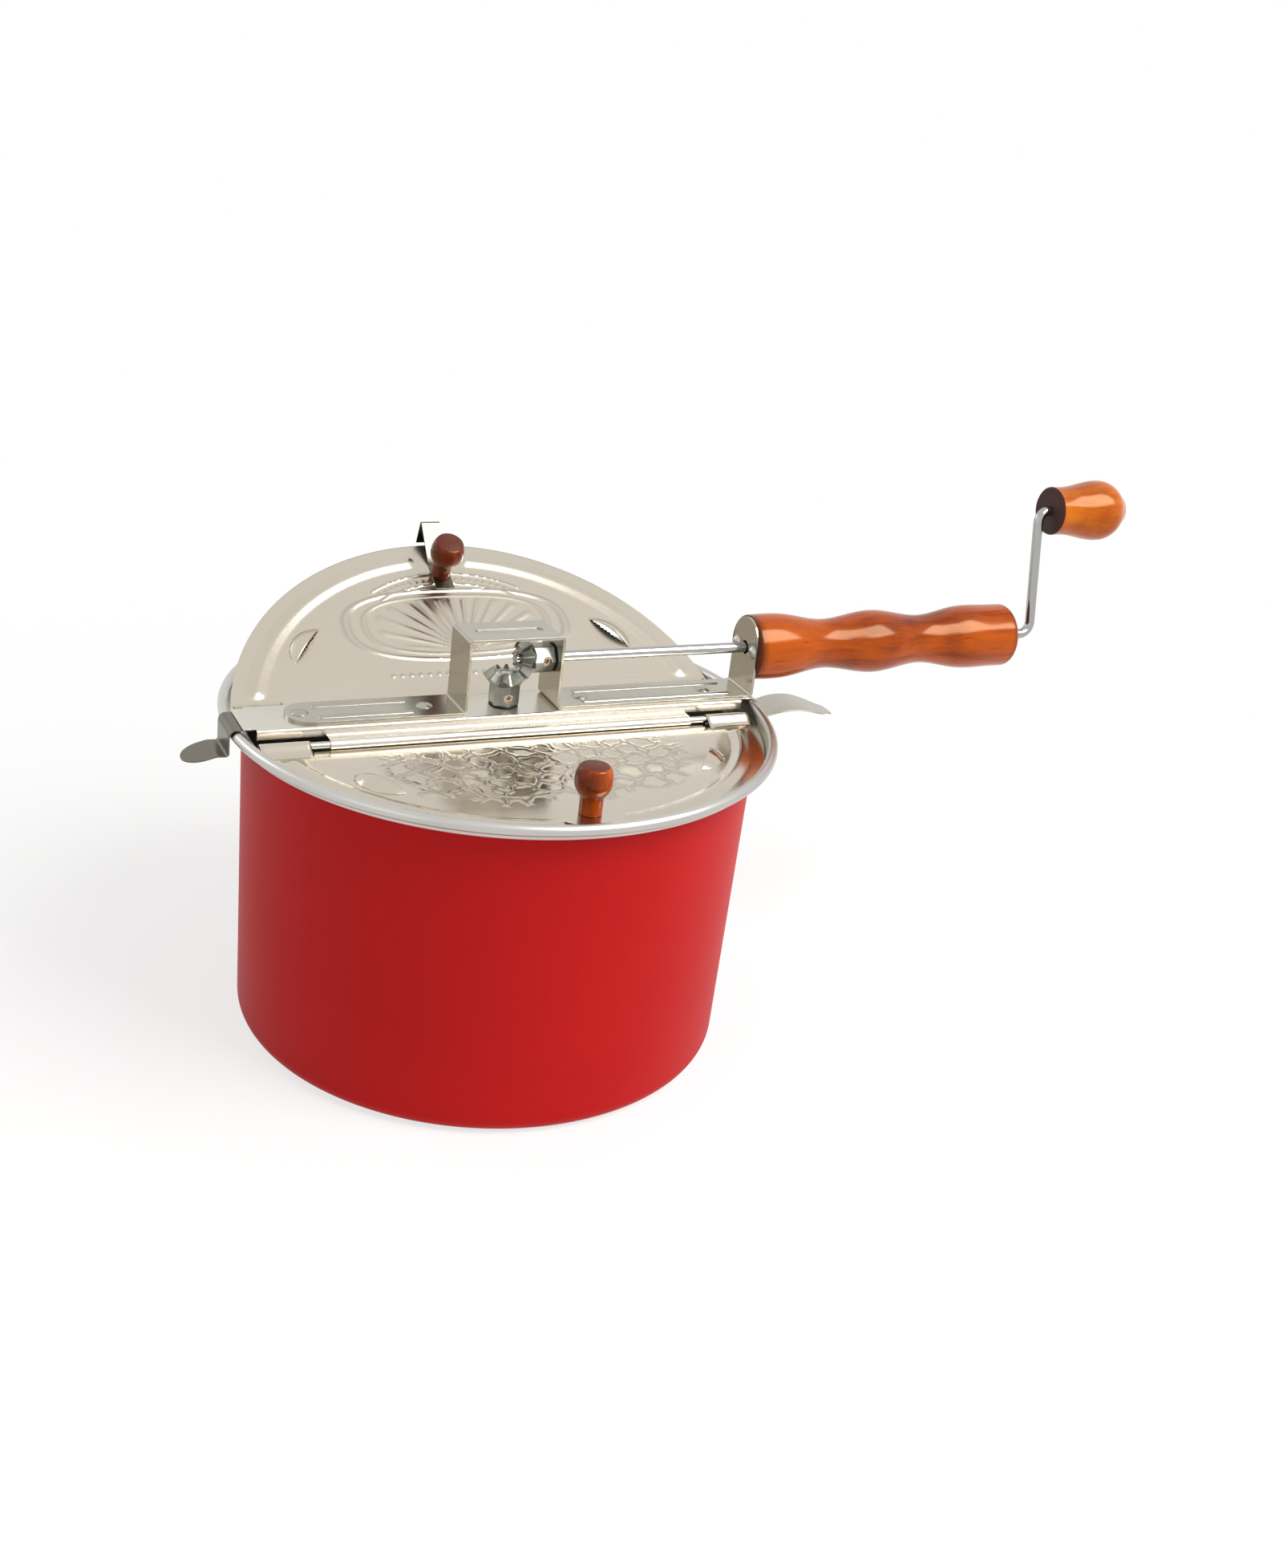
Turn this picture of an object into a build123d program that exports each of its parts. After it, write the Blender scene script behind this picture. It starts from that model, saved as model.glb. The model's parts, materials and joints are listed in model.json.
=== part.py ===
from build123d import *

import os
from math import cos, pi, radians, sin, sqrt, tan

# Stovetop popcorn popper: a thin aluminium pot, a lid in two hinged halves
# carried by a crosspiece that clips over the pot's rim, and a crank that turns
# a stirrer through two bevel gears.
# Millimetres, +Z up. The origin is the centre of the pot's base, +X runs
# towards the handle, and -Y is the side of the front lid.

# ---- Pot: one sheet, stepped out under a curled rim ----
pot_wall = 1.2
pot_base_radius = 109.9
pot_top_radius = 111.7
pot_corner_radius = 8.0
ledge_height = 141.6
ledge_width = 5.3
ledge_corner_radius = 2.0
bead_radius = 2.4
bead_rise = 4.6
bead_wrap = 285.0

# ---- Lids: half discs of thin sheet with pressed ribs and vents ----
lid_sheet = 0.6
lid_seat_gap = 0.3
lid_edge_gap = 0.6
lid_inner_gap = 0.65
rear_lid_opening = 28.0
lid_rib_inset = 10.4
lid_rib_width = 8.0
lid_rib_height = 1.3
lid_rib_start = 17.0
lid_rib_end = 82.0
vent_inset = 23.9
vent_azimuth = 37.5
vent_half_width = 12.5
vent_depth = 7.0
vent_height = 3.8

# ---- Lid hinges: a long pin under each edge of the crosspiece ----
hinge_pin_radius = 1.6
hinge_gap = 0.05
pin_end_gap = 2.6
lid_knuckle_length = 21.0
knuckle_spacing = 8.5
knuckle_curl = 280.0

# ---- Crosspiece: a bent sheet that carries lids, bracket and clips ----
bar_sheet = 0.6
bar_half_width = 13.4
bar_ledge_width = 5.1
bar_bend_radius = 0.8
bar_end_setback = 2.2
bar_flange_gap = 4.2
bar_tab_half_width = 11.0

# ---- Rim clips: spring straps under the crosspiece's ends ----
clip_sheet = 0.5
clip_gap = 0.4
clip_width = 20.0
clip_seam = 0.2
clip_skirt = 8.6
clip_foot_radius = 1.3
left_tab_reach = 17.4
left_tab_width = 18.0
left_tab_drop = 3.1
left_tab_bow_radius = 6.0
right_tab_reach = 46.0
right_tab_crest = 22.3
right_tab_rise = 5.6
right_tab_drop = 1.6
right_tab_bow_radius = 36.0
right_tab_edge = ((5.5, 9.0), (13.5, 9.7), (25.5, 10.6), (37.5, 9.4), (43.0, 5.6))
strap_end_margin = 7.0

# ---- Gear bracket: one strap bent into feet, arch and handle plate ----
bracket_sheet = 1.2
bracket_width = 22.0
bracket_bend_radius = 1.6
bracket_top_bend = 1.1
left_foot_length = 75.3
plate_setback = 0.4
plate_rise = 14.3
arch_gear_gap = 2.1
foot_rib_spacing = 12.0
foot_rib_width = 3.0
foot_rib_height = 0.7
left_foot_ribs = (22.0, 61.0)
right_foot_ribs = (14.0, 86.0)
top_slot_length = 31.0
top_slot_width = 4.5
top_slot_depth = 0.5
plate_hole_gap = 0.8

# ---- Rivets through bracket, crosspiece and straps ----
rivet_head_radius = 3.75
rivet_head_height = 1.4
rivet_shank_radius = 1.75
rivet_hole_gap = 0.05
rivet_tail_radius = 3.0
rivet_tail_height = 1.0
rivet_foot_inset = 6.3
rivet_arch_inset = 14.5
rivet_plate_inset = 19.6

# ---- Bevel gears: one pair, equal ----
gear_teeth = 8
gear_pitch_radius = 8.7
gear_inner_share = 0.6
gear_addendum = 1.5
gear_root_gap = 0.4
tooth_share = 0.41
pressure_angle = 25.0
gear_length = 20.2
hub_flats = 11.6
hub_start = 9.2
washer_sheet = 0.5
washer_radius = 6.4
gear_axial_gap = 0.1
set_screw_radius = 2.0
set_screw_gap = 0.02
set_screw_height = 16.4
set_screw_socket = 2.0
set_screw_recess = 0.4

# ---- Crank ----
rod_radius = 2.38
rod_fit = 0.02
rod_running_gap = 0.05
rod_end_reach = 2.6
shaft_end_gap = 0.2
crank_bend_radius = 6.0
crank_handle_gap = 10.7
crank_arm_length = 60.5
crank_arm_tilt = 10.8
crank_knob_gap = 0.5
crank_knob_bore = 29.0
crank_knob_profile = (
    (0.0, 11.7), (8.4, 11.8), (17.8, 13.4), (26.2, 14.7), (34.6, 13.0), (40.6, 8.0),
)
crank_knob_length = 42.8

# ---- Handle grip: turned wood round the crank rod ----
grip_length = 144.0
grip_profile = (
    (0.0, 14.8), (19.6, 14.6), (39.3, 11.5), (67.3, 14.8), (94.4, 11.5), (116.0, 15.0),
    (131.0, 15.2), (144.0, 15.1),
)
grip_end_round = 2.5
grip_mouth_depth = 8.0
handle_screw_offset = 7.5
handle_screw_radius = 1.75
handle_screw_length = 19.0
handle_screw_head_radius = 3.25
handle_screw_head_height = 2.0

# ---- Lid knobs: turned wood, screwed from below ----
lid_knob_inset = 18.9
lid_knob_height = 20.5
lid_knob_foot_radius = 4.75
lid_knob_neck = 7.6
lid_knob_radius = 7.75
lid_knob_widest = 14.2
lid_knob_top_radius = 6.2
lid_screw_radius = 1.75
lid_screw_depth = 13.0
lid_screw_head_radius = 3.5
lid_screw_head_height = 2.0
screw_hole_gap = 0.05

# ---- Rear lid clip: a spring strip under the rear knob ----
lid_clip_sheet = 0.5
lid_clip_width = 9.0
lid_clip_tail = 9.5
lid_clip_toe = 1.0
lid_clip_reach = 2.0
lid_clip_rise = 2.9
lid_clip_fold = 0.8
lid_clip_skirt = 10.6

# ---- Stirrer ----
stirrer_floor_gap = 1.7
stirrer_wall_gap = 9.2
stirrer_shaft_gap = 0.8
wire_radius = 1.3
wire_fit = 0.02
wire_sweepback = 5.8
wire_straight = 20.0
wire_elbow = 60.0
wire_elbow_offset = 14.0
wire_elbow_radius = 14.0
wire_tip_rise = 11.8
wire_tip_radius = 4.0
ring_sheet = 0.8
ring_radius = 4.6
ring_groove = 0.45
ring_gap = 0.3
ring_mouth = 70.0

# ---- Levels and places that follow ----
lid_bottom = ledge_height + lid_seat_gap
lid_top = lid_bottom + lid_sheet
neck_radius = pot_top_radius + ledge_width
bead_centre_radius = neck_radius + bead_radius
bead_height = ledge_height + bead_rise
bead_top = bead_height + bead_radius
lid_radius = neck_radius - lid_edge_gap
lid_knob_y = lid_radius - lid_knob_inset

pin_bore_radius = hinge_pin_radius + hinge_gap
lid_knuckle_radius = pin_bore_radius + lid_sheet
bar_knuckle_radius = pin_bore_radius + bar_sheet
pin_height = lid_bottom + lid_knuckle_radius
pin_offset = bar_half_width + bar_ledge_width
pin_half_length = sqrt(neck_radius**2 - (pin_offset + lid_knuckle_radius) ** 2) - pin_end_gap
lid_knuckle_start = pin_half_length - lid_knuckle_length
bar_knuckle_end = lid_knuckle_start - knuckle_spacing
lid_inner_edge = pin_offset + max(lid_knuckle_radius, bar_knuckle_radius) + lid_inner_gap

bar_bottom = bead_top + clip_gap + clip_sheet
bar_top = bar_bottom + bar_sheet
bar_half_length = bead_centre_radius - bar_end_setback
bar_flange_end = sqrt(neck_radius**2 - bar_half_width**2) - bar_flange_gap

gear_root = gear_addendum + gear_root_gap
gear_tip_radius = gear_pitch_radius + gear_addendum * cos(radians(45))
gear_face = gear_inner_share * (gear_pitch_radius + gear_root * cos(radians(45)))
gear_bore_radius = rod_radius + rod_fit
rod_hole_radius = rod_radius + rod_running_gap
rod_height = bar_top + gear_axial_gap + washer_sheet + gear_length
wall_face = gear_length + washer_sheet + gear_axial_gap + bracket_sheet
arch_top = rod_height + gear_tip_radius + arch_gear_gap + bracket_sheet
foot_top = bar_top + bracket_sheet
plate_start = bar_half_length + plate_setback
plate_face = plate_start + bracket_sheet
plate_top = rod_height + plate_rise
plate_hole_radius = rod_radius + plate_hole_gap

grip_end = plate_face + grip_length
crank_x = grip_end + crank_bend_radius + crank_handle_gap
crank_pin_y = crank_arm_length * sin(radians(crank_arm_tilt))
crank_pin_z = rod_height + crank_arm_length * cos(radians(crank_arm_tilt))
crank_knob_x = crank_x + crank_bend_radius + crank_knob_gap

left_rivet = wall_face + left_foot_length - rivet_foot_inset
right_rivet = plate_start - rivet_plate_inset
arch_rivet = wall_face + rivet_arch_inset
rivet_hole_radius = rivet_shank_radius + rivet_hole_gap
wire_height = pot_wall + stirrer_floor_gap + wire_radius


# ---- Shared helpers ----

def joined(first, *others):
    """One line made of several that meet end to end."""
    line = Curve() + first
    for other in others:
        line = line + other
    return line


def bent_sheet(line, sheet, half_width, plane):
    """A strip of sheet whose centreline lies in the plane, wide across it."""
    return extrude(plane * trace(line, sheet), half_width, both=True)


def upright(x, y, low, high, radius):
    """A vertical cylinder between two levels."""
    return Pos(x, y, (low + high) / 2) * Cylinder(radius, high - low)


def along_x(low, high, y, z, radius):
    """A cylinder along X between two places."""
    return Pos((low + high) / 2, y, z) * Rot(0, 90, 0) * Cylinder(radius, high - low)


def open_rear(piece):
    """Swings a piece of the rear lid from shut to its resting angle."""
    to_pin = Pos(0, pin_offset, pin_height)
    return to_pin * Rot(rear_lid_opening, 0, 0) * to_pin.inverse() * piece


def to_front(piece):
    """Turns a piece of the shut rear lid to the front."""
    return Rot(0, 0, 180) * piece


# ---- Pot ----

def pot_shell():
    middle = pot_wall / 2
    curl = bead_radius - middle
    wall = FilletPolyline(
        (0, middle),
        (pot_base_radius - middle, middle),
        (pot_top_radius - middle, ledge_height - middle),
        (neck_radius + middle, ledge_height - middle),
        (neck_radius + middle, bead_height),
        radius=(pot_corner_radius - middle, ledge_corner_radius, ledge_corner_radius),
    )
    rim = CenterArc((bead_centre_radius, bead_height), curl, 180, -bead_wrap)
    return revolve(Plane.XZ * trace(joined(wall, rim), pot_wall), Axis.Z)


# ---- Lids ----

def lid_plate():
    """The flat half disc, with its knuckles at both ends of the straight edge."""
    disc = upright(0, 0, lid_bottom, lid_top, lid_radius)
    reach = 2 * lid_radius
    plate = disc & Pos(0, lid_inner_edge + reach / 2, lid_bottom) * Box(reach, reach, reach)
    level = lid_bottom + lid_sheet / 2
    knuckle_line = joined(
        Line((lid_inner_edge + lid_sheet, level), (pin_offset, level)),
        CenterArc((pin_offset, pin_height), pin_height - level, -90, -knuckle_curl),
    )
    knuckle = bent_sheet(knuckle_line, lid_sheet, lid_knuckle_length / 2, Plane.YZ)
    middle = lid_knuckle_start + lid_knuckle_length / 2
    return plate + Pos(middle, 0, 0) * knuckle + Pos(-middle, 0, 0) * knuckle


def lid_rib(inward, floor):
    """One curved rib as a solid; inward shrinks it to the hollow underneath."""
    half = lid_rib_width / 2
    bend = (half**2 + lid_rib_height**2) / (2 * lid_rib_height)
    centre_height = lid_top + lid_rib_height - bend
    radius = lid_radius - lid_rib_inset
    tube = bend - inward
    above = Pos(radius, floor + bend) * Rectangle(4 * bend, 2 * bend)
    section = (Pos(radius, centre_height) * Circle(tube)) & above
    outer_half = section & Pos(radius + 2 * bend, floor) * Rectangle(4 * bend, 8 * bend)
    run = revolve(Plane.XZ * section, Axis.Z, lid_rib_end - lid_rib_start)
    end_axis = Axis((radius, 0, 0), (0, 0, 1))
    cap = revolve(Plane.XZ * outer_half, end_axis, 180)
    near = Pos(radius, 0, 0) * Rot(0, 0, 180) * Pos(-radius, 0, 0) * cap
    return Rot(0, 0, lid_rib_start) * (run + near) + Rot(0, 0, lid_rib_end) * cap


def lid_vent(inward, floor):
    """One vent hood, open towards the middle of the lid."""
    c, s, h = vent_half_width, vent_depth, vent_height
    behind = (c**2 - s**2) / (2 * s)
    below = (c**2 - h**2) / (2 * h)
    ball = Sphere(sqrt(c**2 + behind**2 + below**2) - inward)
    ball = Pos(-behind, 0, lid_top - below) * ball
    size = 4 * c
    return ball & Pos(size / 2, 0, floor + size / 2) * Box(size, size, size)


def lid():
    """The rear lid, shut: plate, ribs, vents and the knob's screw hole."""
    body = lid_plate()
    low = lid_bottom - lid_sheet
    vent_place = Rot(0, 0, vent_azimuth) * Pos(lid_radius - vent_inset, 0, 0)
    raised = (lid_rib(0, lid_bottom), vent_place * lid_vent(0, lid_bottom))
    hollow = (lid_rib(lid_sheet, low), vent_place * lid_vent(lid_sheet, low))
    for form in raised:
        body = body + form + mirror(form, Plane.YZ)
    for form in hollow:
        body = body - form - mirror(form, Plane.YZ)
    hole = upright(0, lid_knob_y, low, lid_top + lid_sheet, lid_screw_radius + screw_hole_gap)
    return body - hole


def lid_knob(base):
    """A turned knob with its screw bore, standing at the given level."""
    neck_top = (lid_knob_foot_radius, lid_knob_neck)
    widest = (lid_knob_radius, lid_knob_widest)
    flank = joined(
        Line((lid_knob_foot_radius, 0), neck_top),
        Spline(neck_top, widest, tangents=((1, 0.9), (0, 1))),
        Spline(widest, (lid_knob_top_radius, lid_knob_height), tangents=((0, 1), (-1, 1.6))),
        Line((lid_knob_top_radius, lid_knob_height), (0, lid_knob_height)),
        Line((0, lid_knob_height), (0, 0)),
        Line((0, 0), (lid_knob_foot_radius, 0)),
    )
    knob = revolve(Plane.XZ * make_face(flank.edges()), Axis.Z)
    bore = upright(0, 0, 0, lid_screw_depth + screw_hole_gap, lid_screw_radius + screw_hole_gap)
    return Pos(0, lid_knob_y, base) * (knob - bore)


def lid_screw(base):
    """A pan-head screw from under the lid into a knob at the given level."""
    shank = upright(0, 0, lid_bottom, base + lid_screw_depth, lid_screw_radius)
    head = upright(0, 0, lid_bottom - lid_screw_head_height, lid_bottom, lid_screw_head_radius)
    slot = Pos(0, 0, lid_bottom - lid_screw_head_height) * Box(lid_screw_head_radius * 3, 1, 1)
    return Pos(0, lid_knob_y, 0) * (shank + head - slot)


def lid_clip():
    """The spring strip from under the rear knob, over the rim and down outside it."""
    middle = lid_clip_sheet / 2
    outside = bead_centre_radius + bead_radius
    apex_height = bead_top + lid_clip_rise
    line = FilletPolyline(
        (lid_knob_y - lid_clip_tail, lid_top + middle),
        (lid_knob_y + lid_knob_foot_radius + lid_clip_toe, lid_top + middle),
        (outside + lid_clip_reach, apex_height),
        (outside + clip_gap + middle, apex_height - lid_clip_skirt - bead_radius),
        radius=(lid_clip_fold, lid_clip_fold),
    )
    strip = bent_sheet(line, lid_clip_sheet, lid_clip_width / 2, Plane.YZ)
    hole_radius = lid_screw_radius + screw_hole_gap
    return strip - upright(0, lid_knob_y, lid_bottom, lid_top + 2 * lid_clip_sheet, hole_radius)


def hinge_pin():
    return along_x(-pin_half_length, pin_half_length, pin_offset, pin_height, hinge_pin_radius)


# ---- Crosspiece ----

def crosspiece():
    middle = bar_sheet / 2
    edge = bar_half_width - middle
    top = bar_top - middle
    ledge = pin_height + bar_knuckle_radius - middle
    skirt = ledge - middle
    bend = bar_bend_radius
    curl = bar_knuckle_radius - middle

    channel_line = FilletPolyline(
        (-edge, skirt), (-edge, top), (edge, top), (edge, skirt), radius=(bend, bend)
    )
    hinged_line = joined(
        CenterArc((-pin_offset, pin_height), curl, 90, knuckle_curl),
        FilletPolyline(
            (-pin_offset, ledge), (-edge, ledge), (-edge, top),
            (edge, top), (edge, ledge), (pin_offset, ledge),
            radius=(bend, bend, bend, bend),
        ),
        CenterArc((pin_offset, pin_height), curl, 90, -knuckle_curl),
    )
    hinged = bent_sheet(hinged_line, bar_sheet, bar_knuckle_end, Plane.YZ)
    length = (bar_flange_end - bar_knuckle_end) / 2
    channel = bent_sheet(channel_line, bar_sheet, length, Plane.YZ)
    tab_length = bar_half_length - bar_flange_end
    tab = Box(tab_length, 2 * bar_tab_half_width, bar_sheet)

    bar = hinged
    for side in (-1, 1):
        bar = bar + Pos(side * (bar_knuckle_end + length), 0, 0) * channel
        bar = bar + Pos(side * (bar_flange_end + tab_length / 2), 0, top) * tab
    for x in (-left_rivet, -arch_rivet, arch_rivet, right_rivet):
        bar = bar - upright(x, 0, bar_bottom - 1, bar_top + 1, rivet_hole_radius)
    return bar - upright(0, 0, bar_bottom - 1, bar_top + 1, rod_hole_radius)


# ---- Rim clips ----

def clip_strap(side):
    """The flat end of a rim clip, riveted under the crosspiece."""
    rivet = left_rivet if side < 0 else right_rivet
    inner = rivet - strap_end_margin
    length = bar_half_length - inner
    strap = Box(length, clip_width, clip_sheet)
    strap = Pos(side * (inner + length / 2), 0, bar_bottom - clip_sheet / 2) * strap
    return strap - upright(side * rivet, 0, bar_bottom - 1, bar_bottom + 1, rivet_hole_radius)


def clip_hook(tab, bow):
    """The sprung end of a rim clip, over the bead and down to where its tab starts."""
    middle = clip_sheet / 2
    over = bead_radius + clip_gap + middle
    leg = bead_centre_radius + over
    foot = bead_height - clip_skirt
    start = (bar_half_length + clip_seam, bar_bottom - middle)
    points = [start, (leg, bar_bottom - middle), (leg, foot)]
    points += [(leg + reach, foot + rise) for reach, rise in tab]
    line = FilletPolyline(*points, radius=(over, clip_foot_radius, bow))
    return bent_sheet(line, clip_sheet, clip_width, Plane.XZ)


def tab_plan(outline):
    """The shape that a hook is cut to, seen from above."""
    low = bead_height - 3 * clip_skirt
    height = 6 * clip_skirt
    plan = extrude(Pos(0, 0, low) * make_face(outline), height)
    return plan + mirror(plan, Plane.XZ)


def left_clip_hook():
    """The short tab: a plate with a round end."""
    leg = bead_centre_radius + bead_radius + clip_gap + clip_sheet / 2
    half = left_tab_width / 2
    reach = leg + left_tab_reach
    outline = joined(
        Line((0, 0), (0, clip_width / 2)),
        Line((0, clip_width / 2), (leg - clip_sheet, clip_width / 2)),
        Line((leg - clip_sheet, clip_width / 2), (leg + clip_sheet, half)),
        Line((leg + clip_sheet, half), (reach - half, half)),
        RadiusArc((reach - half, half), (reach, 0), half),
        Line((reach, 0), (0, 0)),
    )
    tab = ((left_tab_reach * 0.27, clip_sheet / 2), (left_tab_reach, -left_tab_drop))
    return mirror(clip_hook(tab, left_tab_bow_radius) & tab_plan(outline), Plane.YZ)


def right_clip_hook():
    """The long tab, bowed upwards like a leaf, under the handle."""
    leg = bead_centre_radius + bead_radius + clip_gap + clip_sheet / 2
    start = (leg + clip_sheet, clip_width / 2)
    tip = (leg + right_tab_reach, 0)
    edge = [(leg + reach, half) for reach, half in right_tab_edge]
    outline = joined(
        Line((0, 0), (0, clip_width / 2)),
        Line((0, clip_width / 2), start),
        Spline(start, *edge, tip, tangents=((1, -0.5), (0, -1))),
        Line(tip, (0, 0)),
    )
    tab = ((right_tab_crest, right_tab_rise), (right_tab_reach + 1, -right_tab_drop))
    return clip_hook(tab, right_tab_bow_radius) & tab_plan(outline)


# ---- Gear bracket ----

def foot_rib(start, end, y):
    """A raised rib along X on a foot of the bracket, with rounded ends."""
    half = foot_rib_width / 2
    bend = (half**2 + foot_rib_height**2) / (2 * foot_rib_height)
    above = Pos(0, bend) * Rectangle(4 * bend, 2 * bend)
    section = (Pos(0, foot_rib_height - bend) * Circle(bend)) & above
    quarter = section & Pos(2 * bend, 0) * Rectangle(4 * bend, 8 * bend)
    run = extrude(Plane.YZ * section, end - start)
    cap = revolve(Plane.YZ * quarter, Axis.Z, 180)
    rib = Pos(end - start, 0, 0) * Rot(0, 0, 180) * cap + run + cap
    return Pos(start, y, foot_top) * rib


def gear_bracket():
    middle = bracket_sheet / 2
    foot = bar_top + middle
    wall = wall_face - middle
    line = FilletPolyline(
        (-wall_face - left_foot_length, foot),
        (-wall, foot),
        (-wall, arch_top - middle),
        (wall, arch_top - middle),
        (wall, foot),
        (plate_start + middle, foot),
        (plate_start + middle, plate_top),
        radius=(
            bracket_bend_radius, bracket_top_bend, bracket_top_bend,
            bracket_bend_radius, bracket_bend_radius,
        ),
    )
    half = bracket_width / 2
    strap = bent_sheet(line, bracket_sheet, half, Plane.XZ)

    foot_end = -wall_face - left_foot_length
    corners = Pos(foot_end, 0, foot) * Box(2 * half, 2 * bracket_width, 4 * bracket_sheet)
    low, high = bar_top - bracket_sheet, foot_top + bracket_sheet
    corners = corners - upright(foot_end + half, 0, low, high, half)
    strap = strap - corners
    corners = Pos(plate_start, 0, plate_top) * Box(8 * bracket_sheet, 2 * bracket_width, 2 * half)
    near, far = plate_start - 8 * bracket_sheet, plate_start + 8 * bracket_sheet
    corners = corners - along_x(near, far, 0, plate_top - half, half)
    strap = strap - corners

    for y in (-foot_rib_spacing / 2, foot_rib_spacing / 2):
        strap = strap + foot_rib(-wall_face - left_foot_ribs[1], -wall_face - left_foot_ribs[0], y)
        strap = strap + foot_rib(wall_face + right_foot_ribs[0], wall_face + right_foot_ribs[1], y)
    slot = SlotOverall(top_slot_length, top_slot_width)
    strap = strap - extrude(Plane.XY.offset(arch_top - top_slot_depth) * slot, 5)

    for x in (-left_rivet, -arch_rivet, arch_rivet, right_rivet):
        strap = strap - upright(x, 0, bar_top - 1, foot_top + 1, rivet_hole_radius)
    strap = strap - along_x(wall - 2, wall + 2, 0, rod_height, rod_hole_radius)
    strap = strap - along_x(plate_start - 2, plate_face + 2, 0, rod_height, plate_hole_radius)
    for y in (-handle_screw_offset, handle_screw_offset):
        hole = handle_screw_radius + screw_hole_gap
        strap = strap - along_x(plate_start - 2, plate_face + 2, y, rod_height, hole)
    return strap


def domed_head(radius, height):
    """A low dome standing on the XY plane."""
    ball = (radius**2 + height**2) / (2 * height)
    half_space = Pos(0, 0, ball) * Box(4 * ball, 4 * ball, 2 * ball)
    return (Pos(0, 0, height - ball) * Sphere(ball)) & half_space


def bracket_rivets():
    """Four rivets; the outer two also hold the rim clips' straps."""
    rivets = []
    strap_bottom = bar_bottom - clip_sheet
    for x, under in (
        (-left_rivet, strap_bottom),
        (-arch_rivet, bar_bottom),
        (arch_rivet, bar_bottom),
        (right_rivet, strap_bottom),
    ):
        head = Pos(x, 0, foot_top) * domed_head(rivet_head_radius, rivet_head_height)
        shank = upright(x, 0, under, foot_top, rivet_shank_radius)
        tail = upright(x, 0, under - rivet_tail_height, under, rivet_tail_radius)
        rivets.append(head + shank + tail)
    return Compound(children=rivets)


# ---- Gears: the axis is local Z and the cones' apex the origin ----

def gear_tooth():
    """A straight tooth that tapers to the apex, on the local X side."""
    slope = sqrt(0.5)
    cone = gear_pitch_radius / slope
    half = tooth_share * pi * gear_pitch_radius / gear_teeth
    tip_half = half - gear_addendum * tan(radians(pressure_angle))
    sink = gear_root * 1.3
    root_half = half + sink * tan(radians(pressure_angle))

    def corners(share):
        points = []
        for lift, wide in ((gear_addendum, tip_half), (-sink, root_half)):
            radial = share * (cone * slope + lift * slope)
            axial = share * (cone * slope - lift * slope)
            points += [(radial, -wide * share, axial), (radial, wide * share, axial)]
        low_tip, high_tip, low_root, high_root = points
        return Face(Wire.make_polygon([low_tip, high_tip, high_root, low_root]))

    return Solid.make_loft([corners(gear_inner_share).outer_wire(), corners(1).outer_wire()], True)


def bevel_gear(phase):
    """A bevel gear with a hexagonal hub, bored for its shaft."""
    slope = sqrt(0.5)
    root_radius = gear_pitch_radius - gear_root * slope
    root_axial = gear_pitch_radius + gear_root * slope
    blank_points = (
        (0, gear_face),
        (gear_inner_share * root_radius, gear_face),
        (root_radius, root_axial),
        (hub_flats / 2, root_axial + root_radius - hub_flats / 2),
        (0, root_axial + root_radius - hub_flats / 2),
    )
    gear = revolve(Plane.XZ * make_face(Polyline(*blank_points, close=True).edges()), Axis.Z)
    tooth = gear_tooth()
    for number in range(gear_teeth):
        gear = gear + Rot(0, 0, phase + number * 360 / gear_teeth) * tooth
    hexagon = RegularPolygon(hub_flats / 2, 6, major_radius=False, rotation=30)
    gear = gear + extrude(Plane.XY.offset(hub_start) * hexagon, gear_length - hub_start)
    gear = gear - upright(0, 0, 0, gear_length + 1, gear_bore_radius)
    hole = Rot(90, 0, 0) * Cylinder(set_screw_radius + set_screw_gap, hub_flats)
    return gear - Pos(0, -hub_flats / 2, set_screw_height) * hole


def set_screw():
    """A grub screw with a hexagon socket, in the hub's side towards -Y."""
    inner = gear_bore_radius
    outer = hub_flats / 2 - set_screw_recess
    length = outer - inner
    screw = Rot(90, 0, 0) * Cylinder(set_screw_radius, length)
    socket = extrude(RegularPolygon(set_screw_socket / 2, 6, major_radius=False), length / 2)
    screw = Pos(0, -inner - length / 2, 0) * screw
    screw = screw - Pos(0, -outer + length / 2, 0) * Rot(90, 0, 0) * socket
    return Pos(0, 0, set_screw_height) * screw


def washer():
    ring = Cylinder(washer_radius, washer_sheet) - Cylinder(rod_hole_radius, 2 * washer_sheet)
    return Pos(0, 0, gear_length + washer_sheet / 2) * ring


def on_crank(piece):
    """From the gears' local frame to the crank's: local Z becomes +X."""
    return Pos(0, 0, rod_height) * Rot(0, 90, 0) * piece


def on_stirrer(piece):
    """From the gears' local frame to the stirrer's: local Z becomes -Z."""
    return Pos(0, 0, rod_height) * Rot(0, 180, 0) * piece


# ---- Crank ----

def crank_rod():
    start = gear_face - rod_end_reach
    pin_end = crank_knob_x + crank_knob_bore - 1
    path = FilletPolyline(
        (start, 0, rod_height),
        (crank_x, 0, rod_height),
        (crank_x, crank_pin_y, crank_pin_z),
        (pin_end, crank_pin_y, crank_pin_z),
        radius=crank_bend_radius,
    )
    section = Plane(origin=(start, 0, rod_height), z_dir=(1, 0, 0)) * Circle(rod_radius)
    return sweep(section, path=path)


def turned_along_x(outline, bore, depth, place):
    """Turns an outline about the local X axis, bores it and puts it in place."""
    solid = revolve(make_face(outline.edges()), Axis.X)
    return place * (solid - along_x(-1, depth, 0, 0, bore))


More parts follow.
